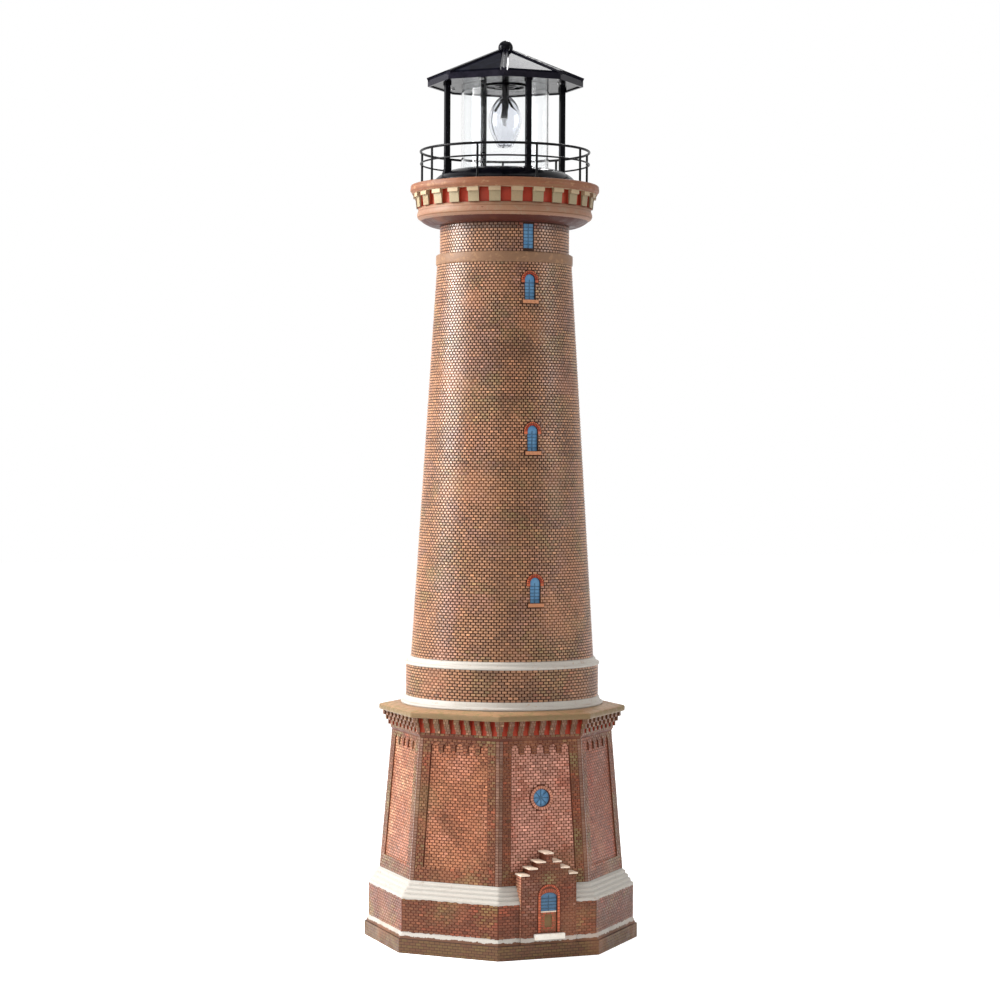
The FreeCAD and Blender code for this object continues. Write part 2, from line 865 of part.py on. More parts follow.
def gallery_casting():
    # Ring with a spigot below: flare, torus, waist, toothed band and a rounded lip round the deck
    bore = housing_radius + housing_clearance
    spigot = neck_radius - tower_wall - spigot_clearance
    spigot_z = gallery_z - spigot_length
    flare_middle = (gallery_foot_radius + flare_radius) / 2
    edge_z = deck_z - lip_edge
    turn = lip_edge * (1 - math.sqrt(0.5))
    body = turned([(bore, spigot_z), (spigot, spigot_z), (spigot, gallery_z),
                   (gallery_foot_radius, gallery_z),
                   (flare_radius, torus_z, flare_middle, gallery_z + flare_hollow),
                   (waist_radius, waist_z, torus_radius, torus_z + torus_height / 2),
                   (waist_radius, dentil_z), (dentil_radius - dentil_batter, dentil_z),
                   (dentil_radius, dentil_cap_z), (dentil_cap_radius, dentil_cap_z),
                   (dentil_cap_radius, lip_z), (lip_radius - lip_step, lip_z + lip_step),
                   (lip_radius, lip_z + 2 * lip_step), (lip_radius, edge_z),
                   (lip_radius - lip_edge, deck_z, lip_radius - turn, deck_z - turn), (bore, deck_z)])
    floor = -dentil_radius + dentil_gap_depth
    gap = block(-dentil_gap / 2, dentil_gap / 2, -lip_radius - 1, floor, dentil_z, lip_z)
    body = body.cut(around(gap, dentil_count, 180.0 / dentil_count))
    socket = rod(railing_post_wire / 2, deck_z - post_socket, deck_z + 1, y=-railing_radius)
    return body.cut(around(socket, railing_posts))


# Railing

def ring(height, wire):
    return Part.makeTorus(railing_radius, wire / 2, FreeCAD.Vector(0, 0, deck_z + height))


def top_rail():
    return ring(top_rail_height, top_rail_wire)


def mid_rail():
    return ring(mid_rail_height, mid_rail_wire)


def railing_post():
    # Round wire post, drilled for the mid rail and notched under the top rail
    foot = rod(post_foot_radius, deck_z, deck_z + post_foot_height, y=-railing_radius)
    shank = rod(railing_post_wire / 2, deck_z - post_socket, deck_z + top_rail_height, y=-railing_radius)
    return shank.fuse(foot).removeSplitter().cut([top_rail(), mid_rail()])


# Lantern

def lantern_disc():
    # Domed disc with the groove of the clear tube and four post sockets, and the housing's wall below it
    inner = housing_radius - housing_wall
    floor_z = housing_z + housing_plate
    groove_in = tube_radius - tube_wall - tube_clearance
    groove_out = tube_radius + tube_clearance
    disc_z = dome_z - disc_recess
    run = rim_radius - dome_radius
    chord = math.hypot(run, dome_rise)
    crown = (rim_radius - run / 2 + dome_camber * dome_rise / chord,
             rim_z + dome_rise / 2 + dome_camber * run / chord)
    body = turned([(0, plate_z), (inner, plate_z), (inner, floor_z), (housing_radius, floor_z),
                   (housing_radius, lantern_z), (rim_radius, lantern_z), (rim_radius, rim_z),
                   (dome_radius, dome_z) + crown, (groove_out, dome_z), (groove_out, tube_z),
                   (groove_in, tube_z), (groove_in, dome_z), (groove_in - disc_recess, disc_z), (0, disc_z)])
    half = post_collar_half() + post_pad_margin
    pad = moved(slab(half, half, rim_z - 1, post_foot_z), y=-lantern_post_radius)
    half = post_collar_half() + post_socket_clearance
    socket = moved(slab(half, half, post_foot_z, dome_z + 1), y=-lantern_post_radius)
    shank = rod(screw_radius + screw_clearance, lantern_z - 1, post_foot_z + 1, y=-lantern_post_radius)
    seat_z = lantern_z + screw_head_height + screw_seat_depth
    head = rod(screw_head_radius + screw_clearance, lantern_z - 1, seat_z, y=-lantern_post_radius)
    body = body.fuse(around(pad, lantern_posts)).removeSplitter()
    for cutter in (socket, shank, head):
        body = body.cut(around(cutter, lantern_posts))
    return body


def post_collar_half():
    return lantern_post_width / 2 + lantern_post_collar


def lantern_post():
    # Square post with a slightly wider collar at its head and foot, bored for its two screws
    post = slab(lantern_post_width / 2, lantern_post_width / 2, post_foot_z, soffit_z)
    for z in (post_foot_z, soffit_z - lantern_collar_height):
        post = post.fuse(slab(post_collar_half(), post_collar_half(), z, z + lantern_collar_height))
    bores = [rod(post_bore_radius, post_foot_z - 1, post_foot_z + post_bore_depth),
             rod(small_screw_radius, soffit_z - ceiling_screw_grip - screw_tip_gap, soffit_z + 1)]
    return moved(post.removeSplitter().cut(bores), y=-lantern_post_radius)


def lantern_post_screws():
    head_z = lantern_z + screw_seat_depth
    length = post_foot_z + post_screw_grip - head_z - screw_head_height
    shape = screw(0, -lantern_post_radius, head_z, length, post_bore_radius,
                  screw_head_radius, screw_head_height, 1)
    return around(shape, lantern_posts)


def lens_tube():
    return tube(tube_radius, tube_radius - tube_wall, tube_z, soffit_z)


def soffit_plate():
    # Eight-sided ceiling with two rings round the stem below and a thrust ring above
    radius = roof_radius - (roof_wall + soffit_clearance) / math.cos(half_side)
    body = faceted([(radius, soffit_z), (radius, soffit_top_z)])
    thrust = spindle_radius + thrust_ring_margin
    ring_z = soffit_z - ceiling_ring_drop
    rings = [tube(ceiling_ring_radius, ceiling_ring_radius - ceiling_ring_wall, ring_z, soffit_z + 1),
             tube(stem_ring_radius, stem_ring_radius - stem_ring_wall, ring_z, soffit_z + 1),
             tube(thrust + thrust_ring_wall, thrust, soffit_z, gear_z - seat_gap)]
    body = body.fuse(rings).removeSplitter()
    hole = small_screw_radius + screw_clearance
    cutters = [rod(spindle_radius + spindle_hole_margin, soffit_z - 1, soffit_top_z + 1)]
    cutters += around(rod(hole, soffit_z - 1, soffit_top_z + 1, y=-lantern_post_radius), lantern_posts)
    cutters += around(rod(hole, soffit_z - 1, soffit_top_z + 1, y=-roof_boss_radius), lantern_posts, 45.0)
    for x in (-bracket_foot_x, bracket_foot_x):
        cutters.append(rod(small_screw_radius, soffit_z - 1, soffit_top_z + 1, x=x))
    return body.cut(cutters)


def ceiling_screws():
    head_z = soffit_top_z + small_head_height
    shape = small_screw(0, -lantern_post_radius, head_z, soffit_thickness + ceiling_screw_grip, -1)
    return around(shape, lantern_posts)


def roof_screws():
    head_z = soffit_z - small_head_height
    shape = small_screw(0, -roof_boss_radius, head_z, soffit_thickness + roof_screw_grip, 1)
    return around(shape, lantern_posts, 45.0)


def roof_rib():
    # Bar along one hip with a groove down its middle, which leaves two lines
    length = (roof_radius - rib_inner) / math.cos(math.radians(hip_slope))
    rib = block(0, length, -rib_width / 2, rib_width / 2, -rib_sink, rib_height)
    groove = block(-1, length + 1, -rib_groove / 2, rib_groove / 2, rib_height - rib_groove_depth, rib_height + 1)
    rib = rib.cut(groove)
    rib.rotate(origin, FreeCAD.Vector(0, 1, 0), -hip_slope)
    return moved(rib, x=-roof_radius, z=roof_z)


def roof_shell():
    # Eight-sided hipped roof, hollow, with a skirt, a rib on each hip and four screw bosses
    collar = ball_collar_radius / math.cos(half_side)
    solid = faceted([(roof_radius, eave_z), (roof_radius, roof_z), (collar, apex_z)])
    body = solid.fuse(around(roof_rib(), sides, 180.0 / sides)).removeSplitter()
    skin = roof_wall / math.cos(math.radians(roof_slope))
    inner = roof_radius - roof_wall / math.cos(half_side)
    top = apex_z - skin - roof_wall
    inner_top = (roof_z + roof_rise - skin - top) / roof_rise * roof_radius
    wall_z = roof_z - skin + roof_rise * (1 - inner / roof_radius)
    hollow = faceted([(inner, eave_z - 1), (inner, wall_z), (inner_top, top)])
    body = body.cut([hollow, rod(ball_screw_radius, top - 1, apex_z + 1)])
    boss = rod(small_screw_radius + roof_boss_wall, soffit_top_z, roof_z + roof_rise, y=-roof_boss_radius)
    depth = roof_screw_grip + screw_tip_gap
    hole = rod(small_screw_radius, soffit_top_z - 1, soffit_top_z + depth, y=-roof_boss_radius)
    body = body.fuse(around(boss.common(solid), lantern_posts, 45.0)).removeSplitter()
    return body.cut(around(hole, lantern_posts, 45.0))


def solar_panels():
    # Tapered flat plate on each roof slope, clear of the ribs on both hips
    length = apothem(roof_radius) / math.cos(math.radians(roof_slope))

    margin = rib_width / 2 / math.cos(half_side) + panel_margin
    foot, head = panel_foot, panel_foot + panel_length
    foot_half, head_half = (side_length(roof_radius) / 2 * (1 - v / length) - margin for v in (foot, head))
    points = [(-foot_half, foot), (foot_half, foot), (head_half, head), (-head_half, head)]
    panel = plate(points, -panel_thickness, 0)
    panel.rotate(origin, FreeCAD.Vector(1, 0, 0), roof_slope - 90)
    return around(moved(panel, y=-apothem(roof_radius), z=roof_z), sides)


def finial():
    # Ball on a tapered collar, with a threaded tail into the roof
    z = apex_z + ball_collar_height
    tail_z = apex_z - ball_screw_length
    centre = z + math.sqrt(ball_radius ** 2 - ball_neck_radius ** 2)
    return turned([(0, tail_z), (ball_screw_radius, tail_z), (ball_screw_radius, apex_z),
                   (ball_collar_radius, apex_z), (ball_neck_radius, z),
                   (0, centre + ball_radius, ball_radius, centre)])


# Beacon

def gear(teeth, thickness, z, bore, phase=0.0):
    # Straight spur gear with tapered teeth, slimmer than the gaps by the backlash
    pitch_radius = gear_module * teeth / 2
    root = pitch_radius - gear_dedendum * gear_module
    tip = pitch_radius + gear_addendum * gear_module
    step = 2 * math.pi / teeth
    tooth = ((root, -gear_root_share), (tip, -gear_tip_share),
             (tip, gear_tip_share), (root, gear_root_share))
    points = []
    for k in range(teeth):
        middle = step * k + math.radians(phase)
        for radius, share in tooth:
            angle = middle + share * step
            points.append(FreeCAD.Vector(radius * math.cos(angle), radius * math.sin(angle), z))
    wheel = Part.Face(Part.makePolygon(points + points[:1])).extrude(FreeCAD.Vector(0, 0, thickness))
    return wheel.cut(rod(bore, z - 1, z + thickness + 1))


def spindle_gear():
    # A tooth points at the pinion, which stands towards +Y
    return spun(gear(gear_teeth, gear_thickness, gear_z, spindle_radius), 90)


def drive_pinion():
    wheel = gear(pinion_teeth, gear_thickness, gear_z, motor_shaft_radius, 180.0 / pinion_teeth - 90)
    return moved(wheel, y=gear_distance)


def motor_shaft():
    return rod(motor_shaft_radius, gear_z, bracket_z + motor_shaft_reach, y=gear_distance)


def motor():
    top = bracket_z + motor_height
    body = rod(motor_radius, bracket_z, top, y=gear_distance)
    boss = rod(motor_boss_radius, top, top + motor_boss_height, y=gear_distance)
    bore = rod(motor_shaft_radius + bearing_clearance, bracket_z - 1,
               bracket_z + motor_shaft_reach + motor_shaft_end_gap, y=gear_distance)
    return body.fuse(boss).removeSplitter().cut(bore)


def motor_bracket():
    # Bridge over the gears: two feet on the ceiling, a deck that carries the motor and the fixed stem
    half = bracket_width / 2
    reach = bracket_foot_x + bracket_leg / 2
    under = bracket_z - bracket_thickness
    arm = motor_radius + bracket_margin
    tongue = block(-arm, arm, 0, gear_distance + arm, under, bracket_z)
    legs = [bar(side * reach, side * (reach - bracket_leg), -half, half, soffit_top_z, under)
            for side in (-1, 1)]
    body = slab(reach, half, under, bracket_z).fuse([tongue] + legs).removeSplitter()
    cutters = [rod(stem_radius, soffit_top_z, bracket_z + 1),
               rod(motor_shaft_radius + shaft_hole_margin, soffit_top_z, bracket_z + 1, y=gear_distance)]
    for x in (-bracket_foot_x, bracket_foot_x):
        cutters.append(rod(small_screw_radius, soffit_top_z - 1, bracket_z + 1, x=x))
    return body.cut(cutters)


def bracket_screws():
    length = bracket_height + soffit_thickness - screw_tip_gap
    head_z = bracket_z + small_head_height
    return [small_screw(x, 0, head_z, length, -1) for x in (-bracket_foot_x, bracket_foot_x)]


def lamp_stem():
    # Fixed hollow stem with a flange on the bracket
    top = bracket_z + stem_flange_height
    flange = rod(stem_radius + stem_flange_width, bracket_z, top)
    stem = rod(stem_radius, holder_z, top)
    return stem.fuse(flange).removeSplitter().cut(rod(stem_bore_radius, holder_z - 1, top + 1))


def lamp_holder():
    return tube(spindle_radius, stem_bore_radius, holder_z - lamp_holder_length, holder_z)


def led():
    # Round-nosed lamp with a flange at its root
    top = holder_z - lamp_holder_length
    under = top - led_flange_height
    straight = top - led_length + led_radius
    turn = led_radius * math.sqrt(0.5)
    flange_radius = led_radius + led_flange_width
    return turned([(0, straight - led_radius), (led_radius, straight, turn, straight - turn),
                   (led_radius, under), (flange_radius, under), (flange_radius, top), (0, top)])


def lens_carrier():
    # Tubular spindle with two raked arms that hold the lens from inside its shoulder
    bore = stem_radius + bearing_clearance
    spindle = tube(spindle_radius, bore, spindle_z, gear_top_z)
    root_z = spindle_z + arm_width
    run = arm_spread - spindle_radius
    angle = math.degrees(math.atan2(arm_drop, run))
    half = arm_width / 2
    arm = block(-half, math.hypot(arm_drop, run) + half, -half, half, -half, half)
    arm.rotate(origin, FreeCAD.Vector(0, 1, 0), angle)
    arm = moved(arm, x=spindle_radius, z=root_z)
    body = spindle.fuse([arm, spun(arm, 180)]).removeSplitter()
    return body.cut([rod(bore, spindle_z - arm_drop, gear_top_z), lens_shell()])


def lens_points(inset):
    # Bulb-shaped outline, drawn in by inset for the hollow
    top = lens_top_z - inset
    bottom = lens_bottom_z + inset
    tip = lens_tip_radius - inset
    foot = lens_foot_radius - inset
    turn = tip + (foot - tip) * math.sqrt(0.5)
    turn_z = bottom + lens_foot_height * (1 - math.sqrt(0.5))
    return [(0, bottom), (tip, bottom), (foot, bottom + lens_foot_height, turn, turn_z),
            (lens_skirt_radius - inset, bottom + lens_skirt_height),
            (lens_neck_radius, top, lens_radius - inset, lens_top_z - lens_waist), (0, top)]


def lens_shell():
    opening = rod(spindle_radius, lens_top_z - 2 * lens_wall, lens_top_z + 1)
    return turned(lens_points(0)).cut([turned(lens_points(lens_wall)), opening])


def beacon_lens():
    # Clear bulb with a bull's-eye moulded on two opposite sides
    z = lens_top_z - lens_waist
    bulge = (bullseye_radius ** 2 + bullseye_bulge ** 2) / (2 * bullseye_bulge)
    face = -lens_radius - bullseye_bulge
    ball = Part.makeSphere(bulge, FreeCAD.Vector(0, face + bulge, z))
    disc = Part.makeCylinder(bullseye_radius, lens_radius, FreeCAD.Vector(0, face - 1, z),
                             FreeCAD.Vector(0, 1, 0))
    eye = ball.common(disc).cut(turned(lens_points(lens_wall)))
    return lens_shell().fuse([eye, spun(eye, 180)]).removeSplitter()


# Power

def housing_floor():
    # Round plate that closes the housing, open under the cells and slotted for the switch
    body = rod(housing_radius, housing_z, tray_z)
    window = slab(tray_half_x - tray_wall, tray_half_y - tray_wall, housing_z - 1, tray_z + 1)
    hole = rod(small_screw_radius + screw_clearance, housing_z - 1, tray_z + 1, y=-floor_screw_radius)
    return body.cut([window, knob_slot(housing_z - 1, tray_z + 1)] + around(hole, floor_screw_count))


def lantern_base():
    # The disc and housing wall with three floor bosses and the board's four pillars
    boss = rod(small_screw_radius + floor_boss_wall, tray_z, plate_z + pillar_lap, y=-floor_screw_radius)
    pillars = [rod(pillar_radius, board_top_z, plate_z + pillar_lap, x, y) for x, y in pillar_places()]
    body = lantern_disc().fuse(around(boss, floor_screw_count) + pillars).removeSplitter()
    hole_z = tray_z + floor_screw_grip + screw_tip_gap
    hole = rod(small_screw_radius, tray_z - 1, hole_z, y=-floor_screw_radius)
    return body.cut(around(hole, floor_screw_count))


def pillar_places():
    x = board_length / 2 - pillar_inset
    y = board_width / 2 - pillar_inset
    return [(-x, -y), (x, -y), (x, y), (-x, y)]


def floor_screws():
    head_z = housing_z - small_head_height
    shape = small_screw(0, -floor_screw_radius, head_z, housing_plate + floor_screw_grip, 1)
    return around(shape, floor_screw_count)


def battery_tray():
    outer = slab(tray_half_x, tray_half_y, tray_z, tray_top_z)
    inner = slab(tray_half_x - tray_wall, tray_half_y - tray_wall, tray_z - 1, tray_top_z - tray_wall)
    return outer.cut(inner)


def cell_places():
    pitch = 2 * cell_radius + cell_clearance
    return [pitch * (k - (cell_count - 1) / 2) for k in range(cell_count)]


def battery_cell(y):
    # Cylindrical cell with its raised button
    z = tray_z + cell_radius + cell_clearance / 2
    along = FreeCAD.Vector(1, 0, 0)
    length = cell_length - cell_button_length
    body = Part.makeCylinder(cell_radius, length, FreeCAD.Vector(-cell_length / 2, y, z), along)
    tip = Part.makeCylinder(cell_button_radius, cell_button_length,
                            FreeCAD.Vector(length - cell_length / 2, y, z), along)
    return body.fuse(tip).removeSplitter()


def battery_contacts():
    # Flat contact plates at both ends of the tray
    half = contact_width / 2
    plates = []
    for side in (-1, 1):
        for y in cell_places():
            plates.append(bar(side * cell_length / 2, side * (tray_half_x - tray_wall), y - half, y + half,
                              tray_z + contact_rise, tray_z + 2 * cell_radius))
    return plates


def battery_door():
    # Snap-in lid below the floor, with a finger bar
    top = housing_z - seat_gap
    under = top - battery_door_thickness
    lid = slab(tray_half_x - tray_wall + door_lip, tray_half_y - tray_wall + door_lip, under, top)
    grip = slab(door_grip_length / 2, door_grip_width / 2, under - door_grip_height, under)
    return lid.fuse(grip).removeSplitter()


def circuit_board():
    body = slab(board_length / 2, board_width / 2, board_top_z - board_thickness, board_top_z)
    y = board_width / 2 - board_hole_inset
    return body.cut(rod(small_screw_radius, board_top_z - board_thickness - 1, board_top_z + 1, y=y))


def circuit_parts():
    # A control chip, a coil can and a capacitor under the board
    under = board_top_z - board_thickness
    chip = slab(chip_length / 2, chip_width / 2, under - chip_height, under)
    coil = rod(coil_radius, under - can_height, under, coil_x, coil_y)
    capacitor = rod(capacitor_radius, under - can_height, under, capacitor_x, capacitor_y)
    return [chip, coil, capacitor]


def knob_slot(z0, z1):
    # The knob's width and whole travel with its clearance
    half_x = (knob_length + switch_travel) / 2 + knob_clearance
    return moved(slab(half_x, knob_width / 2 + knob_clearance, z0, z1), y=switch_offset)


def switch_body():
    body = moved(slab(switch_length / 2, switch_width / 2, tray_z, tray_z + switch_height), y=switch_offset)
    return body.cut(knob_slot(tray_z - 1, tray_z + switch_height - switch_roof))


def switch_knob():
    # At rest the knob is at its off end, towards -X
    start = -(knob_length + switch_travel) / 2
    bottom = housing_z - knob_drop
    half = knob_width / 2
    knob = block(start, start + knob_length, switch_offset - half, switch_offset + half,
                 bottom, tray_z + switch_height - switch_roof - knob_head_gap)
    grooves = []
    for k in range(knob_grooves):
        x = start + knob_groove_start + knob_groove_pitch * k
        groove = slab(knob_groove_width / 2, knob_width, bottom - 1, bottom + knob_groove_width)
        grooves.append(moved(groove, x=x + knob_groove_width / 2, y=switch_offset))
    return knob.cut(grooves)


single_pieces = (
    base_casting, base_cover, door_leaf, door_window, door_step, round_window, tower_casting, neck_window,
    gallery_casting, top_rail, mid_rail, lantern_base, lens_tube, soffit_plate, roof_shell, finial, motor,
    motor_shaft, drive_pinion, motor_bracket, lamp_stem, lamp_holder, led, lens_carrier, spindle_gear,
    beacon_lens, housing_floor, battery_tray, battery_door, circuit_board, switch_body, switch_knob)
grouped_pieces = (
    base_cover_screws, lantern_post_screws, ceiling_screws, roof_screws, bracket_screws, floor_screws,
    solar_panels, battery_contacts, circuit_parts)


def pieces():
    # Every node by name: single pieces, groups of like solids, and the numbered ones
    nodes = {make.__name__: make() for make in single_pieces}
    for make in grouped_pieces:
        nodes[make.__name__] = Part.makeCompound(make())
    for k, sill in enumerate(window_sills()):
        nodes[f"tower_window_{k + 1}"] = tower_window(sill)
    for k, shape in enumerate(around(railing_post(), railing_posts)):
        nodes[f"railing_post_{k + 1}"] = shape
    for k, shape in enumerate(around(lantern_post(), lantern_posts)):
        nodes[f"lantern_post_{k + 1}"] = shape
    for k, y in enumerate(cell_places()):
        nodes[f"battery_cell_{k + 1}"] = battery_cell(y)
    return nodes


os.makedirs("parts", exist_ok=True)
for name, shape in pieces().items():
    box = shape.BoundBox
    print(f"{name:22s} solids {len(shape.Solids)}  valid {shape.isValid()}"
          f"  volume {shape.Volume / 1000:9.2f} cm3  z {box.ZMin:7.2f} to {box.ZMax:7.2f}")
    shape.exportStep(os.path.join("parts", name + ".step"))
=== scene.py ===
import json
import math
import bpy
import numpy as np
from mathutils import Euler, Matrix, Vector

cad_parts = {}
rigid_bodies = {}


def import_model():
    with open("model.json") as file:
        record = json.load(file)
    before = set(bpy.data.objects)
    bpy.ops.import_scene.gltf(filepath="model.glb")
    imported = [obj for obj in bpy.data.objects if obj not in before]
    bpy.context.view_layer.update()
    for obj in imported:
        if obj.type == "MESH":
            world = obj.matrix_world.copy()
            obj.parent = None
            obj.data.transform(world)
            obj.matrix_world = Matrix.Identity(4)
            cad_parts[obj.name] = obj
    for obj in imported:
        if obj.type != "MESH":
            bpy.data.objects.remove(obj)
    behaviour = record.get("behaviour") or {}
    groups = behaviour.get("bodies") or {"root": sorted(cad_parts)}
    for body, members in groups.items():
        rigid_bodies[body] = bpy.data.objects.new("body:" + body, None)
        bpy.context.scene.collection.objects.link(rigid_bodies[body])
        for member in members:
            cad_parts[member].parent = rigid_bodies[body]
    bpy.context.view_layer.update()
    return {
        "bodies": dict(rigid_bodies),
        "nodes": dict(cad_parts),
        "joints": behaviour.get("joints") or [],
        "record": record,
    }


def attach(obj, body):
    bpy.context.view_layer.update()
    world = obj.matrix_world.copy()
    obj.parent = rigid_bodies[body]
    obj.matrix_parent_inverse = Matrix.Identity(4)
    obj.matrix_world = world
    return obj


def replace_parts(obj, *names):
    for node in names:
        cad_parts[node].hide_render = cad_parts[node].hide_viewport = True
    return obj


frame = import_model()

print("frame loaded:", len(frame["nodes"]), "nodes")

# Lengths of the pieces below are in millimetres, and become metres when a mesh is made.
# u runs along a wall, v up it and w out of it.

octagon = {"sides": 8, "lean": 4.5609, "wallFoot": 69.0, "wallLength": 139.44,
           "footRadius": 122.5, "headRadius": 110.5, "pier": 12.5}
cone = {"foot": 282.7, "head": 674.0, "footRadius": 91.4, "headRadius": 67.3}


def apothem(radius):
    # From the axis to a side of the octagon: its corner radius times the cosine of half a side's angle
    return radius * math.cos(math.pi / octagon["sides"])


def sideLength(radius):
    # Twice the corner radius times the sine of half a side's angle
    return 2 * radius * math.sin(math.pi / octagon["sides"])


def shaded(red, green, blue):
    # A colour picked on screen, 0 to 255, as the linear values that a shader takes
    share = np.array([red, green, blue]) / 255.0
    return np.where(share <= 0.04045, share / 12.92, ((share + 0.055) / 1.055) ** 2.4)


# Shader wiring

class Wire:
    # One output of a node; sums and products of wires add the Math nodes they need
    def __init__(self, graph, socket):
        self.graph = graph
        self.socket = socket

    def __add__(self, other):
        return self.graph.maths("ADD", self, other)

    def __radd__(self, other):
        return self.graph.maths("ADD", other, self)

    def __sub__(self, other):
        return self.graph.maths("SUBTRACT", self, other)

    def __rsub__(self, other):
        return self.graph.maths("SUBTRACT", other, self)

    def __mul__(self, other):
        return self.graph.maths("MULTIPLY", self, other)

    def __rmul__(self, other):
        return self.graph.maths("MULTIPLY", other, self)


class Graph:
    # The nodes of a new material of that name, or of the world that is handed over
    def __init__(self, name, world=None):
        self.owner = world or bpy.data.materials.new(name)
        self.owner.use_nodes = True
        self.tree = self.owner.node_tree
        self.tree.nodes.clear()

    def node(self, kind, settings=None, inputs=None, output=0):
        # Any shader node: its settings are set first, then the values or links of its sockets
        made = self.tree.nodes.new("ShaderNode" + kind)
        for key, value in (settings or {}).items():
            setattr(made, key, value)
        for key, value in (inputs or {}).items():
            if isinstance(value, Wire):
                self.tree.links.new(value.socket, made.inputs[key])
            else:
                made.inputs[key].default_value = value
        return Wire(self, made.outputs[output]) if len(made.outputs) else made

    def maths(self, operation, first, second):
        # One sum on two values
        return self.node("Math", {"operation": operation}, {0: first, 1: second})

    def place(self):
        # x, y and z on the object, in metres
        return self.node("TexCoord", output="Object")

    def outputs(self, wire, keys):
        # Further outputs of the node that a wire comes from
        return [Wire(self, wire.socket.node.outputs[key]) for key in keys]

    def split(self, vector):
        # The three parts of a vector
        return self.outputs(self.node("SeparateXYZ", inputs={"Vector": vector}), range(3))

    def noise(self, scale, detail=2.0, rough=0.5, warp=0.0):
        # Patches about 1 / scale metres wide, from 0 to 1
        return self.node("TexNoise", None,
                         {"Vector": self.place(), "Scale": scale, "Detail": detail,
                          "Roughness": rough, "Distortion": warp})

    def step(self, value, low, high, bottom=0.0, top=1.0):
        # Rises smoothly from bottom to top as the value goes from low to high
        return self.node("MapRange", {"interpolation_type": "SMOOTHSTEP"},
                         {"Value": value, "From Min": low, "From Max": high, "To Min": bottom, "To Max": top})

    def above(self, value, level, soft=0.0002):
        # 0 under a level in mm and 1 over it, with an edge of soft metres either way
        return self.step(value, level * 0.001 - soft, level * 0.001 + soft)

    def below(self, value, level, soft=0.0002, most=1.0):
        # The most under a level in mm and 0 over it
        return self.step(value, level * 0.001 - soft, level * 0.001 + soft, most, 0.0)

    def blend(self, first, second, share):
        # first * (1 - share) + second * share
        return self.node("Mix", {"data_type": "RGBA"}, {0: share, 6: full(first), 7: full(second)},
                         output=2)

    def grained(self, colour, scale, depth):
        # The colour, darker by the depth in the low parts of a fine noise
        grain = self.step(self.noise(scale, 2.0, 0.6), 0.3, 0.7)
        return self.blend(self.blend(colour, (0.0, 0.0, 0.0), depth), colour, grain)

    def bump(self, height, strength, distance, normal=None):
        # The normal of a surface that stands out by height times distance, in metres
        inputs = {"Height": height, "Strength": strength, "Distance": distance}
        if normal:
            inputs["Normal"] = normal
        return self.node("Bump", None, inputs)

    def finish(self, **inputs):
        # Socket names with their spaces written as underscores
        named = {key.replace("_", " "): full(value) if key == "Base_Color" else value
                 for key, value in inputs.items()}
        shader = self.node("BsdfPrincipled", None, named)
        self.node("OutputMaterial", None, {"Surface": shader})
        return self.owner


def full(colour):
    # Red, green and blue with an alpha of 1; a wire stays as it is
    return colour if isinstance(colour, Wire) else (*[float(c) for c in colour[:3]], 1.0)


# Paints of the castings. The colours are what plain soft light shows.

paint = {"mortar": (50, 27, 15), "baseMortar": (82, 42, 28), "shaft": (151, 107, 75), "clay": (168, 114, 82),
         "sand": (184, 140, 106), "olive": (122, 104, 62), "umber": (96, 64, 43), "red": (154, 54, 36),
         "rust": (142, 70, 48), "orange": (174, 90, 60), "moss": (114, 106, 70), "mauve": (140, 100, 86),
         "panel": (146, 92, 66), "panelShade": (132, 74, 52), "rose": (168, 114, 93), "blush": (180, 128, 110),
         "pier": (118, 88, 74), "wall": (110, 68, 48), "plinth": (104, 60, 42), "cream": (216, 196, 176),
         "white": (167, 161, 153), "step": (224, 218, 208), "wash": (142, 145, 140), "tan": (146, 112, 82),
         "edge": (100, 84, 58), "grey": (126, 106, 88), "tooth": (134, 120, 94), "toothCap": (158, 138, 110),
         "lip": (114, 72, 50), "torus": (128, 92, 72), "lipWashAndShade": (82, 36, 24), "collar": (114, 85, 64),
         "under": (62, 27, 19), "footing": (92, 62, 46), "footingJoint": (50, 34, 24), "dullMoss": (100, 80, 50)}
colours = {name: shaded(*value) for name, value in paint.items()}


def weather(graph, colour, strength=1.0):
    # Broad stains of warm, mossy and dusky paint over a colour, then fine grain in its brightness
    warm = graph.step(graph.noise(21.0, 3.0, 0.55), 0.52, 0.72, top=0.45 * strength)
    moss = graph.step(graph.noise(17.0, 3.0, 0.6, warp=0.4), 0.55, 0.75, top=0.5 * strength)
    dusk = graph.step(graph.noise(33.0, 2.0, 0.5), 0.5, 0.78, top=0.5 * strength)
    for tint, share in (("clay", warm), ("moss", moss), ("umber", dusk)):
        colour = graph.blend(colour, colours[tint], share)
    return graph.grained(colour, 820.0, 0.10)


def brickPaint(name, gloss):
    # Each brick carries its own tone as an attribute; stains run over all of them
    graph = Graph(name)
    tone = graph.node("Attribute", {"attribute_name": "tone"})
    colour = weather(graph, tone, 0.55)
    rough = graph.step(graph.noise(60.0, 2.0), 0.3, 0.7, 0.28, 0.38)
    relief = graph.bump(graph.noise(1500.0, 2.0, 0.6), 0.35, 0.0003)
    return graph.finish(Base_Color=colour, Roughness=rough, Normal=relief, Specular_IOR_Level=gloss)


# Rows of bricks cut into the footing, in metres as the Brick Texture node takes them
footingRows = {"Scale": 1.0, "Brick Width": 0.0056, "Row Height": 0.0028, "Mortar Size": 0.00032,
               "Mortar Smooth": 0.3, "Bias": 0.0}


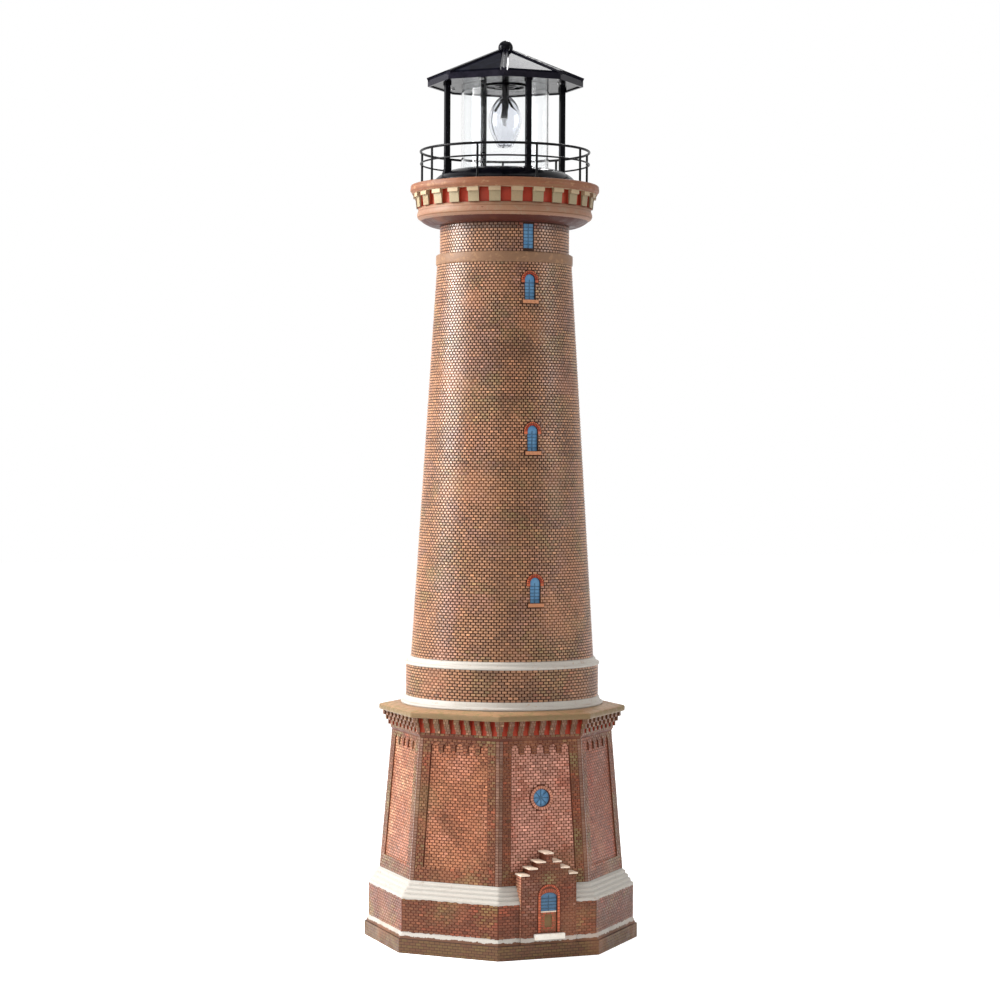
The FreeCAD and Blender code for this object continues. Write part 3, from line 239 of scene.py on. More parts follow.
def castingPaint(name, ground, zones, deep=(), around="round", rows=None):
    # The ground colour, with zones (from height, to height, colour, ragged edge in mm), all in mm up the object,
    # red (from height, to height, reach) on what lies nearer the axis than the teeth's faces, and rows of
    # bricks cut into the surface up to the height in rows (height, radius, colour, colour, joint colour).
    # A zone's share is a step up at its foot times a step down at its head.
    graph = Graph(name)
    x, y, z = graph.split(graph.place())
    ragged = (graph.noise(230.0, 3.0, 0.6) - 0.5) * 0.001
    colour = colours[ground]
    for bottom, top, tint, rag in zones:
        level = z + ragged * rag if rag else z
        colour = graph.blend(colour, colours[tint], graph.above(level, bottom) * graph.below(level, top))
    if around == "round":
        reach = graph.node("VectorMath", {"operation": "LENGTH"},
                           {0: graph.node("CombineXYZ", None, {"X": x, "Y": y})}, output="Value")
    else:  # distance to the nearest side of an octagon: the greatest of x, y and (x + y) / root 2
        across, along = graph.maths("ABSOLUTE", x, 0.0), graph.maths("ABSOLUTE", y, 0.0)
        reach = graph.maths("MAXIMUM", graph.maths("MAXIMUM", across, along), (across + along) * 0.70711)
    for bottom, top, radius in deep:
        inside = graph.below(reach, radius, 0.0003) * graph.above(z, bottom, 0.0001) * graph.below(z, top, 0.0001)
        colour = graph.blend(colour, colours["red"], inside)
    relief = graph.bump(graph.noise(520.0, 4.0, 0.65), 0.5, 0.0004)
    if rows:
        height, radius, first, second, joint = rows
        turn = graph.maths("ARCTAN2", x, y * -1.0)
        spot = graph.node("CombineXYZ", None, {"X": turn * (radius * 0.001), "Y": z})
        bricks = {"Vector": spot, **footingRows, "Color1": full(colours[first]), "Color2": full(colours[second]),
                  "Mortar": full(colours[joint])}
        laidColour = graph.node("TexBrick", None, bricks)
        laidJoint = graph.node("TexBrick", None, bricks, output="Fac")
        share = graph.below(z, height, most=0.8)
        colour = graph.blend(colour, laidColour, share)
        relief = graph.bump(1.0 - laidJoint * share, 0.6, 0.0004, relief)
    colour = weather(graph, colour, 0.5)
    rough = graph.step(graph.noise(90.0, 3.0), 0.3, 0.7, 0.40, 0.58)
    return graph.finish(Base_Color=colour, Roughness=rough, Normal=relief, Specular_IOR_Level=0.15)


def stonePaint(name, tint, wornTint, wear=0.35, washesAndShade=()):
    # Brushed stone paint, worn through to a second colour in patches, with thin darker lines (height, half width,
    # colour, share) lying in the grooves that run round at those heights: a wash on the moulding, painted groove
    # shade on the gallery's torus and lip
    graph = Graph(name)
    patches = graph.noise(150.0, 4.0, 0.65, warp=0.6)
    worn = graph.step(patches, 0.62 - 0.3 * wear, 0.80 - 0.2 * wear, top=0.8)
    broad = graph.step(graph.noise(24.0, 3.0, 0.55), 0.42, 0.75, top=0.5 * wear)
    colour = graph.blend(colours[tint], colours[wornTint], worn)
    colour = graph.blend(colour, colours["tan"], broad)
    z = graph.split(graph.place())[2]
    sway = (graph.noise(60.0, 2.0) - 0.5) * 0.0002
    # Each line darkens towards its height. On the moulding it is a wash in the grooves; on the gallery's torus and
    # lip it is painted groove shade.
    for height, half, washAndShadeTint, share in washesAndShade:
        near = graph.maths("ABSOLUTE", z + sway - height * 0.001, 0.0)
        wash = graph.step(near, 0.4 * half * 0.001, half * 0.001, share, 0.0)
        colour = graph.blend(colour, colours[washAndShadeTint], wash)
    colour = graph.grained(colour, 900.0, 0.08)
    rough = graph.step(patches, 0.3, 0.7, 0.38, 0.56)
    relief = graph.bump(graph.noise(420.0, 4.0, 0.65), 0.5, 0.0005)
    return graph.finish(Base_Color=colour, Roughness=rough, Normal=relief, Specular_IOR_Level=0.15)


windowColours = {"pane": (72, 116, 153), "light": (90, 132, 165), "bar": (52, 84, 108)}


def windowPaint(nodeName, lean=0.0, shade=1.0):
    # Blue panes behind darker bars, told apart by how far out of the wall each stands: the place's product
    # with the way that the window faces
    mesh = frame["nodes"][nodeName].data
    spots = np.empty(3 * len(mesh.vertices), np.float32)
    mesh.vertices.foreach_get("co", spots)
    outward = (0.0, -math.cos(math.radians(lean)), math.sin(math.radians(lean)))
    proud = float((spots.reshape(-1, 3) @ np.array(outward)).max())
    pane, light, bar = (shaded(*windowColours[part]) * shade for part in ("pane", "light", "bar"))
    graph = Graph(nodeName + "_paint")
    place = graph.place()
    reach = graph.node("VectorMath", {"operation": "DOT_PRODUCT"}, {0: place, 1: outward}, output="Value")
    bars = graph.step(reach, proud - 0.00040, proud - 0.00015)
    mottle = graph.step(graph.noise(160.0, 3.0, 0.6), 0.35, 0.68)
    colour = graph.blend(graph.blend(pane, light, mottle), bar, bars)
    rough = graph.step(graph.noise(90.0, 2.0), 0.3, 0.7, 0.24, 0.4)
    relief = graph.bump(graph.noise(900.0, 2.0, 0.6), 0.3, 0.00015)
    return graph.finish(Base_Color=colour, Roughness=rough, Normal=relief, Specular_IOR_Level=0.3)


# Finishes of the moulded and metal pieces: colour, second colour, roughness from and to, scale of the mottling,
# then, where it isn't as in mouldedFinish, the grain's height in metres, metal, coat, gloss or index of refraction

finishes = {
    "cover_plastic": ((30, 30, 32), (22, 22, 23), (0.5, 0.62), 260, {"grain": 0.0001}),
    "screw_steel": ((176, 176, 178), (150, 148, 146), (0.28, 0.42), 420, {"metal": 1.0}),
    "stem_steel": ((8, 8, 11), (16, 15, 17), (0.3, 0.42), 380, {"gloss": 0.05}),
    "rail_black": ((5, 5, 7), (11, 9, 11), (0.2, 0.32), 300, {"gloss": 0.05}),
    "lantern_black": ((4, 4, 7), (10, 9, 14), (0.12, 0.2), 140, {"gloss": 0.05}),
    "solar_cell": ((14, 14, 20), (20, 21, 30), (0.05, 0.08), 90, {"ior": 1.02}),
    "roof_black": ((16, 15, 22), (26, 24, 32), (0.1, 0.18), 120, {"ior": 1.14}),
    "motor_can": ((168, 168, 170), (150, 150, 152), (0.24, 0.4), 340, {"metal": 1.0}),
    "gear_nylon": ((226, 223, 212), (214, 210, 196), (0.4, 0.5), 300, {}),
    "led_epoxy": ((205, 205, 205), (190, 190, 188), (0.1, 0.18), 300, {"coat": 0.6}),
    "contact_metal": ((190, 188, 182), (172, 170, 160), (0.22, 0.36), 380, {"metal": 1.0}),
    "cell_wrap": ((58, 120, 92), (50, 106, 80), (0.16, 0.26), 200, {"coat": 0.5}),
    "board_green": ((34, 92, 56), (26, 78, 46), (0.3, 0.42), 600, {}),
    "chip_black": ((26, 26, 27), (34, 33, 32), (0.42, 0.55), 700, {}),
}


def mouldedFinish(name, first, second, rough, mottle, grain=0.00006, metal=0.0, coat=0.0, gloss=0.5, ior=1.5):
    # Two close tones in soft patches, roughness that follows them, and a fine grain in the surface
    graph = Graph(name)
    patches = graph.noise(mottle, 3.0, 0.6, warp=0.3)
    colour = graph.blend(shaded(*first), shaded(*second), graph.step(patches, 0.35, 0.68))
    shine = graph.step(patches, 0.3, 0.7, *rough)
    relief = graph.bump(graph.noise(mottle * 9.0, 3.0, 0.6), 0.3, grain)
    return graph.finish(Base_Color=colour, Roughness=shine, Normal=relief, Metallic=metal,
                        Coat_Weight=coat, Coat_Roughness=0.06, Specular_IOR_Level=gloss, IOR=ior)


def clearFinish(name, ior, tint=(0.97, 0.98, 0.985)):
    # Clear acrylic with faint moulding marks in its gloss
    graph = Graph(name)
    shine = graph.step(graph.noise(70.0, 2.0), 0.35, 0.7, 0.015, 0.05)
    return graph.finish(Base_Color=tint, Roughness=shine, Transmission_Weight=1.0, IOR=ior)


plinth = {"radius": 133.5, "foot": 20.3, "head": 53.0, "porchHalf": 29.3}
moulding = {"steps": 4, "tread": 2.75, "rise": 4.0}
stones = {  # colour, colour under the wear, wear, washes and painted groove shade
    "white_stone": ("white", "tan", 0.12),
    "ridge_stone": ("white", "grey", 0.08, [(plinth["head"] + moulding["rise"] * k + 3.7, 0.6, "wash", 0.4)
                                            for k in range(moulding["steps"])]),
    "cap_stone": ("cream", "rose", 0.22),
    # door_step's paint is a much lighter white than the bands' white and carries painted light on the step.
    "door_step": ("step", "cream", 0.3),
    "door_leaf": ("dullMoss", "umber", 0.5),
    "ledge_stone": ("tan", "moss", 0.62, [(230.4, 3.6, "edge", 0.75)]),
    "collar_stone": ("collar", "tan", 0.4),
    # The lip's and the torus's dark lines are painted groove shade. The torus's lines stand for grooves that its
    # skin lacks. The lip's lines lie at its fillet steps, together with a dark wash.
    "lip_stone": ("lip", "tan", 0.35, [(747.0, 0.9, "lipWashAndShade", 0.8), (751.6, 0.8, "lipWashAndShade", 0.6)]),
    "torus_stone": ("torus", "grey", 0.5, [(721.6, 0.7, "umber", 0.9), (727.6, 0.7, "umber", 0.6)]),
}

materials = {name: mouldedFinish(name, *look[:-1], **look[-1]) for name, look in finishes.items()}
materials |= {name: stonePaint(name + "_paint", *look) for name, look in stones.items()}
materials["clear_acrylic"] = clearFinish("clear_acrylic", 1.4)
materials["lens_tube"] = clearFinish("tube_acrylic", 1.2)
materials["lens_glass"] = clearFinish("lens_glass", 1.36, (0.90, 0.91, 0.94))
materials["shaft_brick"] = brickPaint("shaft_brick_paint", 0.6)
materials["base_brick"] = brickPaint("base_brick_paint", 0.2)
materials["base_casting"] = castingPaint(
    "base_casting_paint", "baseMortar",
    [(-1, 16.6, "footing", 4), (16.6, 20.6, "white", 5), (213, 228, "umber", 0), (228, 233, "edge", 0),
     (233, 240, "tan", 0)],
    [(213.0, 217.9, 105.0), (217.9, 222.8, 106.6), (222.8, 227.6, 108.6)], "octagon",
    (14.2, 128.0, "footing", "dullMoss", "footingJoint"))
materials["tower_casting"] = castingPaint(
    "tower_casting_paint", "mortar",
    [(235, 244, "white", 0), (275.5, 282.7, "white", 0), (673.8, 684.2, "collar", 1.0)])
materials["gallery_casting"] = castingPaint(
    "gallery_casting_paint", "umber",
    # The under zone, 712 to 731 mm, is painted a very dark red-brown. Part of that is the casting's paint and part
    # is painted shade beneath the gallery's overhang.
    [(712, 731, "under", 0), (731, 741, "tooth", 0), (741, 745.2, "toothCap", 0), (745.2, 755, "lip", 0)],
    [(731, 746, 87.2)])
windows = {"neck_window": {}, "tower_window_1": {}, "tower_window_2": {}, "tower_window_3": {},
           "door_window": {"shade": 0.6}, "round_window": {"lean": octagon["lean"]}}
materials |= {name: windowPaint(name, **look) for name, look in windows.items()}
materials["roof_shell"] = materials["roof_black"]
print("materials made:", len(materials))

for nodeName, nodeObject in frame["nodes"].items():
    for place, slot in enumerate(nodeObject.material_slots):
        known = nodeName if nodeName in materials else slot.material.name.split(".")[0] if slot.material else ""
        if known in materials:
            nodeObject.material_slots[place].material = materials[known]
        else:
            print("no finish for", nodeName, known)


# Meshes

def makeMesh(name, points, quads, caps=(), smooth=True, tone=None):
    # points in mm, quads as an array of corner numbers, caps as further faces of any length
    mesh = bpy.data.meshes.new(name)
    corners = np.concatenate([np.asarray(quads, np.int32).ravel()] + [np.asarray(c, np.int32) for c in caps])
    totals = np.concatenate([np.full(len(quads), 4), [len(c) for c in caps]]).astype(np.int32)
    starts = np.concatenate([[0], np.cumsum(totals)[:-1]]).astype(np.int32)
    mesh.vertices.add(len(points))
    mesh.vertices.foreach_set("co", (np.asarray(points, np.float64) * 0.001).astype(np.float32).ravel())
    mesh.loops.add(len(corners))
    mesh.loops.foreach_set("vertex_index", corners)
    mesh.polygons.add(len(totals))
    mesh.polygons.foreach_set("loop_start", starts)
    mesh.polygons.foreach_set("loop_total", totals)
    mesh.polygons.foreach_set("use_smooth", np.full(len(totals), smooth))
    mesh.update(calc_edges=True)
    mesh.validate()
    if tone is not None:
        layer = mesh.attributes.new("tone", "FLOAT_COLOR", "POINT")
        layer.data.foreach_set("color", np.asarray(tone, np.float32).ravel())
    return mesh


def placed(name, data):
    # A new object at the origin, in the scene
    made = bpy.data.objects.new(name, data)
    bpy.context.scene.collection.objects.link(made)
    return made


def addPiece(name, mesh, material, body):
    # A finished piece, which moves with the body
    made = placed(name, mesh)
    made.data.materials.append(materials[material])
    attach(made, body)
    return made


def ringQuads(rows, columns, closed=True):
    # Quads of a grid that closes on itself round its columns and, unless left open, from the last row to the first
    row, column = np.meshgrid(np.arange(rows if closed else rows - 1), np.arange(columns), indexing="ij")
    nextRow, nextColumn = (row + 1) % rows, (column + 1) % columns
    quads = [row * columns + column, row * columns + nextColumn,
             nextRow * columns + nextColumn, nextRow * columns + column]
    return np.stack(quads, -1).reshape(-1, 4)


def ripple(x, y, z, size, seed):
    # Smooth uneven surface: the mean of nine sine waves of wavelengths about size, run in random directions
    chance = np.random.default_rng(seed)
    total, waves = 0.0, 9
    for wave in range(waves):
        way = chance.normal(size=3)
        way = way / np.linalg.norm(way) * 2 * math.pi / (size * chance.uniform(0.6, 1.7))
        total = total + np.sin(x * way[0] + y * way[1] + z * way[2] + chance.uniform(0, 6.28))
    return total / waves


def roundOutline(columns):
    # Circle of radius 1 from the door's side: the sine and minus the cosine of even angles
    angle = np.linspace(0, 2 * math.pi, columns, endpoint=False)
    return np.sin(angle), -np.cos(angle)


def octagonOutline(perSide):
    # Octagon of corner radius 1: each side goes in even steps from a corner's x and y to the next one's
    corner = np.radians(22.5 + 45.0 * np.arange(9)) - math.pi / 2
    share = (np.arange(perSide) / perSide)[None, :]
    return [(part(corner[:-1, None]) * (1 - share) + part(corner[1:, None]) * share).ravel()
            for part in (np.cos, np.sin)]


def sweep(name, profile, outline, material, uneven, size, seed, ragged=None):
    # The closed profile (radius, height) carried round the outline: x and y are the outline's times the radius,
    # moved out by uneven times the ripple, and up by 0.4 of that. ragged (row, depth) lets a row hang unevenly.
    loop = np.array(profile, float)
    x, y = loop[:, :1] * outline[0], loop[:, :1] * outline[1]
    z = np.repeat(loop[:, 1:2], len(outline[0]), 1)
    push = uneven * ripple(x, y, z, size, seed)
    grow = 1 + push / loop[:, :1]
    if ragged:
        row, depth = ragged
        z[row] -= depth * np.clip(0.5 + 1.4 * ripple(x[row], y[row], z[row], 7.0, seed + 5), 0, 1)
    points = np.stack([x * grow, y * grow, z + 0.4 * push], -1).reshape(-1, 3)
    addPiece(name, makeMesh(name, points, ringQuads(*x.shape)), material, "tower")


# Bricks

def blocks(u, v, rise, arris, sunk=0.25):
    # Low blocks with sloping sides. u and v hold four corners each, anticlockwise seen from outside.
    # The foot is sunk below the wall; the top is the foot drawn in by the arris and raised.
    middleU, middleV = u.mean(1, keepdims=True), v.mean(1, keepdims=True)
    away = np.hypot(u - middleU, v - middleV)
    narrow = np.minimum(0.42, 1.41 * arris / away)
    topU, topV = u + (middleU - u) * narrow, v + (middleV - v) * narrow
    low = np.full_like(u, -sunk)
    high = np.repeat(rise[:, None], 4, 1)
    return np.concatenate([u, topU], 1), np.concatenate([v, topV], 1), np.concatenate([low, high], 1)


def brickFaces(count):
    # A block's six faces, from its eight corners, and again with 8 added for each further block
    pattern = np.array([[4, 5, 6, 7], [0, 1, 5, 4], [1, 2, 6, 5], [2, 3, 7, 6], [3, 0, 4, 7], [3, 2, 1, 0]])
    return (pattern[None] + 8 * np.arange(count)[:, None, None]).reshape(-1, 4)


def laid(spans, bottom, top, look, start=0):
    # Running bond: each course fills the stretches of wall that spans(v, course) names, and every second
    # course starts half a brick along
    count = max(1, round((top - bottom) / look["course"]))
    levels = np.linspace(bottom, top, count + 1)
    length, joint, bed = look["length"], look["joint"] / 2, look["bed"] / 2
    shortest = 0.28 * length
    rows = []
    for k, (low, high) in enumerate(zip(levels[:-1], levels[1:])):
        for first, last in spans((low + high) / 2, k):
            shift = length * 0.5 * ((k + start) % 2)
            cuts = np.arange(math.floor((first - shift) / length), math.ceil((last - shift) / length) + 1)
            cuts = cuts * length + shift
            cuts = cuts[(cuts > first + shortest) & (cuts < last - shortest)]
            edges = np.concatenate([[first], cuts, [last]])
            if last - first > 2.5 * joint:
                ends = np.stack([edges[:-1] + joint, edges[1:] - joint], 1)
                rows.append(np.column_stack([ends, np.full(len(ends), low + bed), np.full(len(ends), high - bed)]))
    bricks = np.concatenate(rows)
    return bricks[:, [0, 1, 1, 0]], bricks[:, [2, 2, 3, 3]]


def toned(points, tints, seed, spread=0.15, patches=()):
    # Each brick takes a tone between the first tint and the others, by a slow ripple and its own chance;
    # a patch (middle, reach, tint) colours the bricks near its middle
    chance = np.random.default_rng(seed)
    middle = points.mean(1)
    base = np.repeat(colours[tints[0]][None], len(middle), 0)
    for k, tint in enumerate(tints[1:]):
        slow = ripple(*middle.T, 46.0, seed + 3 * k) * 1.3
        share = np.clip(slow + chance.normal(0, 0.18, len(middle)) - 0.10, 0, 0.6)[:, None]
        base = base * (1 - share) + colours[tint][None] * share
    for spot, reach, tint in patches:
        away = np.linalg.norm(middle - np.array(spot), axis=1) / reach
        share = 0.8 * np.exp(-away[:, None] ** 2)
        base = base * (1 - share) + colours[tint][None] * share
    base = base * np.exp(chance.normal(0, spread, (len(middle), 1)))
    tone = np.concatenate([np.clip(base, 0, 1), np.ones((len(middle), 1))], 1)
    return np.repeat(tone, 8, 0)


def raised(corners, place, tints, seed, height=0.45, arris=0.22, spread=0.15, patches=()):
    # Bricks of uneven height on the wall that place(u, v, w) stands for
    u, v = corners
    chance = np.random.default_rng(seed)
    rise = height * chance.uniform(0.72, 1.12, len(u))
    points = np.stack(place(*blocks(u, v, rise, arris)), -1)
    return points.reshape(-1, 3), toned(points, tints, seed, spread, patches)


def brickPiece(name, groups, material="base_brick"):
    # The groups' bricks, each with its tone, in one mesh
    points, tone = (np.concatenate(part) for part in zip(*groups))
    mesh = makeMesh(name, points, brickFaces(len(points) // 8), smooth=False, tone=tone)
    print(name, len(points) // 8, "bricks")
    addPiece(name, mesh, material, "tower")


def turnedBy(side, x, y, z):
    # The octagon's side number times 45 degrees round the axis
    angle = math.radians(45.0 * side)
    return x * math.cos(angle) - y * math.sin(angle), x * math.sin(angle) + y * math.cos(angle), z


def leaningWall(side, depth=0.0):
    # Door side's wall leaned inwards, then turned to its side; v = 0 is the foot of the wall
    lean = math.radians(octagon["lean"])

    def place(u, v, w):
        out = w - depth
        y = -apothem(octagon["footRadius"]) + v * math.sin(lean) - out * math.cos(lean)
        return turnedBy(side, u, y, octagon["wallFoot"] + v * math.cos(lean) + out * math.sin(lean))
    return place


def uprightWall(side, reach):
    # Door side's wall at its reach from the axis, turned to its side; v is the height
    return lambda u, v, w: turnedBy(side, u, -(reach + w), v)


def roundWall(radiusAt, count):
    # u counts bricks round the axis from the door's side; x and y are the radius plus w, times the sine and
    # minus the cosine of u's share of the turn
    def place(u, v, w):
        angle = u * 2 * math.pi / count
        reach = radiusAt(v) + w
        return reach * np.sin(angle), -reach * np.cos(angle), v
    return place


# The round tower: shaft, drum and neck

shaft = {"count": 108, "course": 2.755, "joint": 0.84, "bed": 0.6, "bands": 6,
         "tints": ("shaft", "clay", "umber", "olive", "mauve")}
drum = {"count": 108, "course": 2.9, "joint": 0.84, "bed": 0.62, "radius": 96.3, "foot": 243.8, "head": 275.6,
        "tints": ("shaft", "umber", "rust", "olive")}
neck = {"count": 98, "course": 2.72, "joint": 0.8, "bed": 0.58, "radius": 64.5, "foot": 684.2, "shade": 707.0,
        "head": 712.8, "windowHalf": 5.4, "windowHead": 711.5,
        "tints": ("shaft", "mauve", "umber"), "shadeTints": ("umber", "rust")}
windowSizes = {"half": 5.3, "height": 25.0, "ring": 3.9, "leg": 3.2, "sill": 3.8, "sillHalf": 8.7,
               "sills": (339.9, 488.3, 636.7)}


def shaftRadius(z):
    # In a straight line from the foot's radius to the head's
    share = (z - cone["foot"]) / (cone["head"] - cone["foot"])
    return cone["footRadius"] + (cone["headRadius"] - cone["footRadius"]) * share


def windowHalf(z):
    # Half width of what a window covers on the shaft at a height: sill, opening, legs and round arch
    for sill in windowSizes["sills"]:
        crown = sill + windowSizes["height"]
        spring = crown - windowSizes["half"]
        outer = windowSizes["half"] + windowSizes["ring"]
        if sill - windowSizes["sill"] < z < sill:
            return windowSizes["sillHalf"]
        if sill <= z < spring - windowSizes["leg"]:
            return windowSizes["half"] + 0.2
        if spring - windowSizes["leg"] <= z < spring:
            return outer
        if spring <= z < spring + outer:
            return math.sqrt(outer ** 2 - (z - spring) ** 2)
    return 0.0


def brickPitch(look, radius):
    # Length round the tower that each brick has: the whole way round over the count
    return 2 * math.pi * radius / look["count"]


def ring(look, half, radius, course):
    # Round the tower, in bricks, from one edge of a window to its other edge; where there is none, the whole
    # way, started half a brick further in every second course
    start = half / brickPitch(look, radius) or 0.5 * (course % 2)
    return [(start, look["count"] - start if half else look["count"] + start)]


def ringBricks(look, halfAt, radiusAt, bottom, top, tints, seed, start=0, patches=()):
    # Courses of bricks one unit long, whose joint is set for the radius halfway up
    unit = {**look, "length": 1.0, "joint": look["joint"] / brickPitch(look, radiusAt((bottom + top) / 2))}
    courses = laid(lambda z, k: ring(look, halfAt(z), radiusAt(z), k + start), bottom, top, unit, start)
    return raised(courses, roundWall(radiusAt, look["count"]), tints, seed, patches=patches)


courses = round((cone["head"] - cone["foot"]) / shaft["course"])
cuts = [round(courses * band / shaft["bands"]) for band in range(shaft["bands"] + 1)]
shaftLevels = [cone["foot"] + (cone["head"] - cone["foot"]) * cut / courses for cut in cuts]
brickPiece("shaft_bricks", [  # in bands, as the joint keeps its width while the cone narrows
    ringBricks(shaft, windowHalf, shaftRadius, *shaftLevels[band:band + 2], shaft["tints"], 40 + band, cuts[band])
    for band in range(shaft["bands"])], "shaft_brick")
brickPiece("drum_bricks", [ringBricks(drum, lambda z: 0.0, lambda z: drum["radius"], drum["foot"], drum["head"],
                                      drum["tints"], 60)], "shaft_brick")


def neckHalf(z):
    # The square-headed window's half width as far up as it goes
    return neck["windowHalf"] if z < neck["windowHead"] else 0.0


# The top courses, from the shade height up to the head, take darker umber and rust tints. This is painted shade
# under the gallery together with the darker paint there. The red patch over the window is the lintel's own paint.
brickPiece("neck_bricks", [
    ringBricks(neck, neckHalf, lambda z: neck["radius"], neck["foot"], neck["shade"], neck["tints"], 61),
    ringBricks(neck, neckHalf, lambda z: neck["radius"], neck["shade"], neck["head"], neck["shadeTints"], 62,
               patches=[((0, -neck["radius"], 712.0), 8.0, "red")])], "shaft_brick")


# Arches of small bricks round the openings

def archRing(centre, inner, outer, count, low=0.0, high=180.0, joint=0.35):
    # Blocks between two radii about the centre (u, v), evenly spread from the low to the high angle
    edges = np.radians(np.linspace(low, high, count + 1))
    gap = joint / (inner + outer)
    first, last = edges[:-1] + gap, edges[1:] - gap
    angles = np.stack([first, first, last, last], 1)
    reach = np.array([inner, outer, outer, inner])[None]
    return centre[0] + reach * np.cos(angles), centre[1] + reach * np.sin(angles)


def column(u0, u1, v0, v1, count, bed=0.35):
    # Equal blocks one above the other, with half a bed joint off the foot and the head of each
    levels = np.linspace(v0, v1, count + 1)
    u = np.tile([u0, u1, u1, u0], (count, 1)).astype(float)
    low, high = levels[:-1] + bed / 2, levels[1:] - bed / 2
    return u, np.stack([low, low, high, high], 1)


def flatOnCone(proud):
    # u and v of a window's front view laid on the cone, w out from its raised trim: the angle is u over the reach
    def place(u, v, w):
        reach = shaftRadius(v) + proud + w
        angle = u / reach
        return reach * np.sin(angle), -reach * np.cos(angle), v
    return place


windowTrim = {"red": (5.45, 7.1, 11), "orange": (7.3, 8.95, 13), "proud": 0.75,  # rings: radius to radius, count
              "sillHalf": 8.4, "sillBlocks": 4, "sillFoot": 3.7, "sillHead": 0.15, "sillProud": 1.75}
onTrim, onSill = flatOnCone(windowTrim["proud"]), flatOnCone(windowTrim["sillProud"])
trimGroups = []
for number, sill in enumerate(windowSizes["sills"]):
    spring = sill + windowSizes["height"] - windowSizes["half"]
    for part, other, seed, height in (("red", "orange", 70, 0.25), ("orange", "red", 80, 0.3)):
        arch = archRing((0, spring), *windowTrim[part])
        trimGroups.append(raised(arch, onTrim, (part, other), seed + number, height, 0.15))
    for way in (-1, 1):
        edges = sorted((way * windowTrim["red"][0], way * windowTrim["orange"][1]))
        leg = column(*edges, spring - windowSizes["leg"] + 0.1, spring, 1)
        trimGroups.append(raised(leg, onTrim, ("orange", "red"), 90 + number, 0.3, 0.15))
    sillEdges = np.linspace(-windowTrim["sillHalf"], windowTrim["sillHalf"], windowTrim["sillBlocks"] + 1)
    for first, last in zip(sillEdges[:-1], sillEdges[1:]):
        block = column(first + 0.03, last - 0.03, sill - windowTrim["sillFoot"], sill - windowTrim["sillHead"],
                       1, 0.0)
        trimGroups.append(raised(block, onSill, ("clay", "sand"), 95 + number, 0.3, 0.05, 0.05))
brickPiece("window_arches", trimGroups)


# The octagonal base: walls with sunk panels

panel = {"sill": 13.0, "arches": 5, "arch": 3.9, "margin": 4.2, "drop": 5.2, "depth": 1.2}
wallLook = {"length": 5.12, "course": 2.8, "joint": 0.66, "bed": 0.5}
halfLook = {"length": 4.45, "course": 2.8, "joint": 0.62, "bed": 0.5}
pierLook = {"length": 40.0, "course": 2.8, "joint": 0.1, "bed": 0.42, "width": 3.6}
frieze = {"radius": 112.0, "foot": 210.4, "head": 213.0}
roundWindow = {"height": 83.5, "hole": 12.1, "radius": 8.6, "rim": 3.4, "proud": 0.7, "blocks": 26}
archSpring = octagon["wallLength"] - panel["margin"] - panel["arch"]
archCrown = archSpring + panel["arch"]
corbelEnd = archSpring - panel["drop"]


def wallHalf(v):
    # Half the side of the octagon whose corner radius lies in a straight line between the foot's and the head's
    share = v / octagon["wallLength"]
    return sideLength(octagon["footRadius"] + (octagon["headRadius"] - octagon["footRadius"]) * share) / 2


def panelHalf(v):
    # What the pier leaves of the wall's half width
    return wallHalf(v) - octagon["pier"]


def archMiddles():
    # Even steps from the first arch, which touches the panel's edge, to the last
    reach = panelHalf(archSpring) - panel["arch"]
    return [-reach + 2 * reach * k / (panel["arches"] - 1) for k in range(panel["arches"])]


def roundHalf(radius, height):
    # Half width of a circle at a height over its middle: root of radius squared less height squared
    return math.sqrt(radius ** 2 - height ** 2)


def sunkSpans(v, hole=0.0):
    # What lies inside the panel at a height: the whole field, or the insides of the small arches,
    # less a round hole for the door side's window
    if v < panel["sill"] or v > archCrown:
        return []
    if v < corbelEnd:
        spans = [(-panelHalf(v), panelHalf(v))]
    else:
        half = panel["arch"] if v < archSpring else roundHalf(panel["arch"], v - archSpring)
        spans = [(middle - half, middle + half) for middle in archMiddles()]
    if abs(v - roundWindow["height"]) < hole:
        half = roundHalf(hole, v - roundWindow["height"])
        spans = [(-panelHalf(v), -half), (half, panelHalf(v))]
    return [span for span in spans if span[1] - span[0] > 1.2]


def wallSpans(v, course):
    # The wall round the panel, without its piers
    inner = wallHalf(v) - pierLook["width"] - 0.1
    if v < panel["sill"] or v > archCrown:
        return [(-inner, inner)]
    if v < corbelEnd:
        return []
    edges = [-inner] + [edge for span in sunkSpans(v) for edge in span] + [inner]
    return [(a, b) for a, b in zip(edges[::2], edges[1::2]) if b - a > 0.9]


def besideSpans(v, course):
    # Between the panel and the piers
    outer = wallHalf(v) - pierLook["width"] - 0.1
    return [(-outer, -panelHalf(v)), (panelHalf(v), outer)]


def pierSpans(v, course):
    # The strip along each corner of the octagon
    outer, inner = wallHalf(v) - 0.1, wallHalf(v) - pierLook["width"]
    return [(-outer, -inner), (inner, outer)]


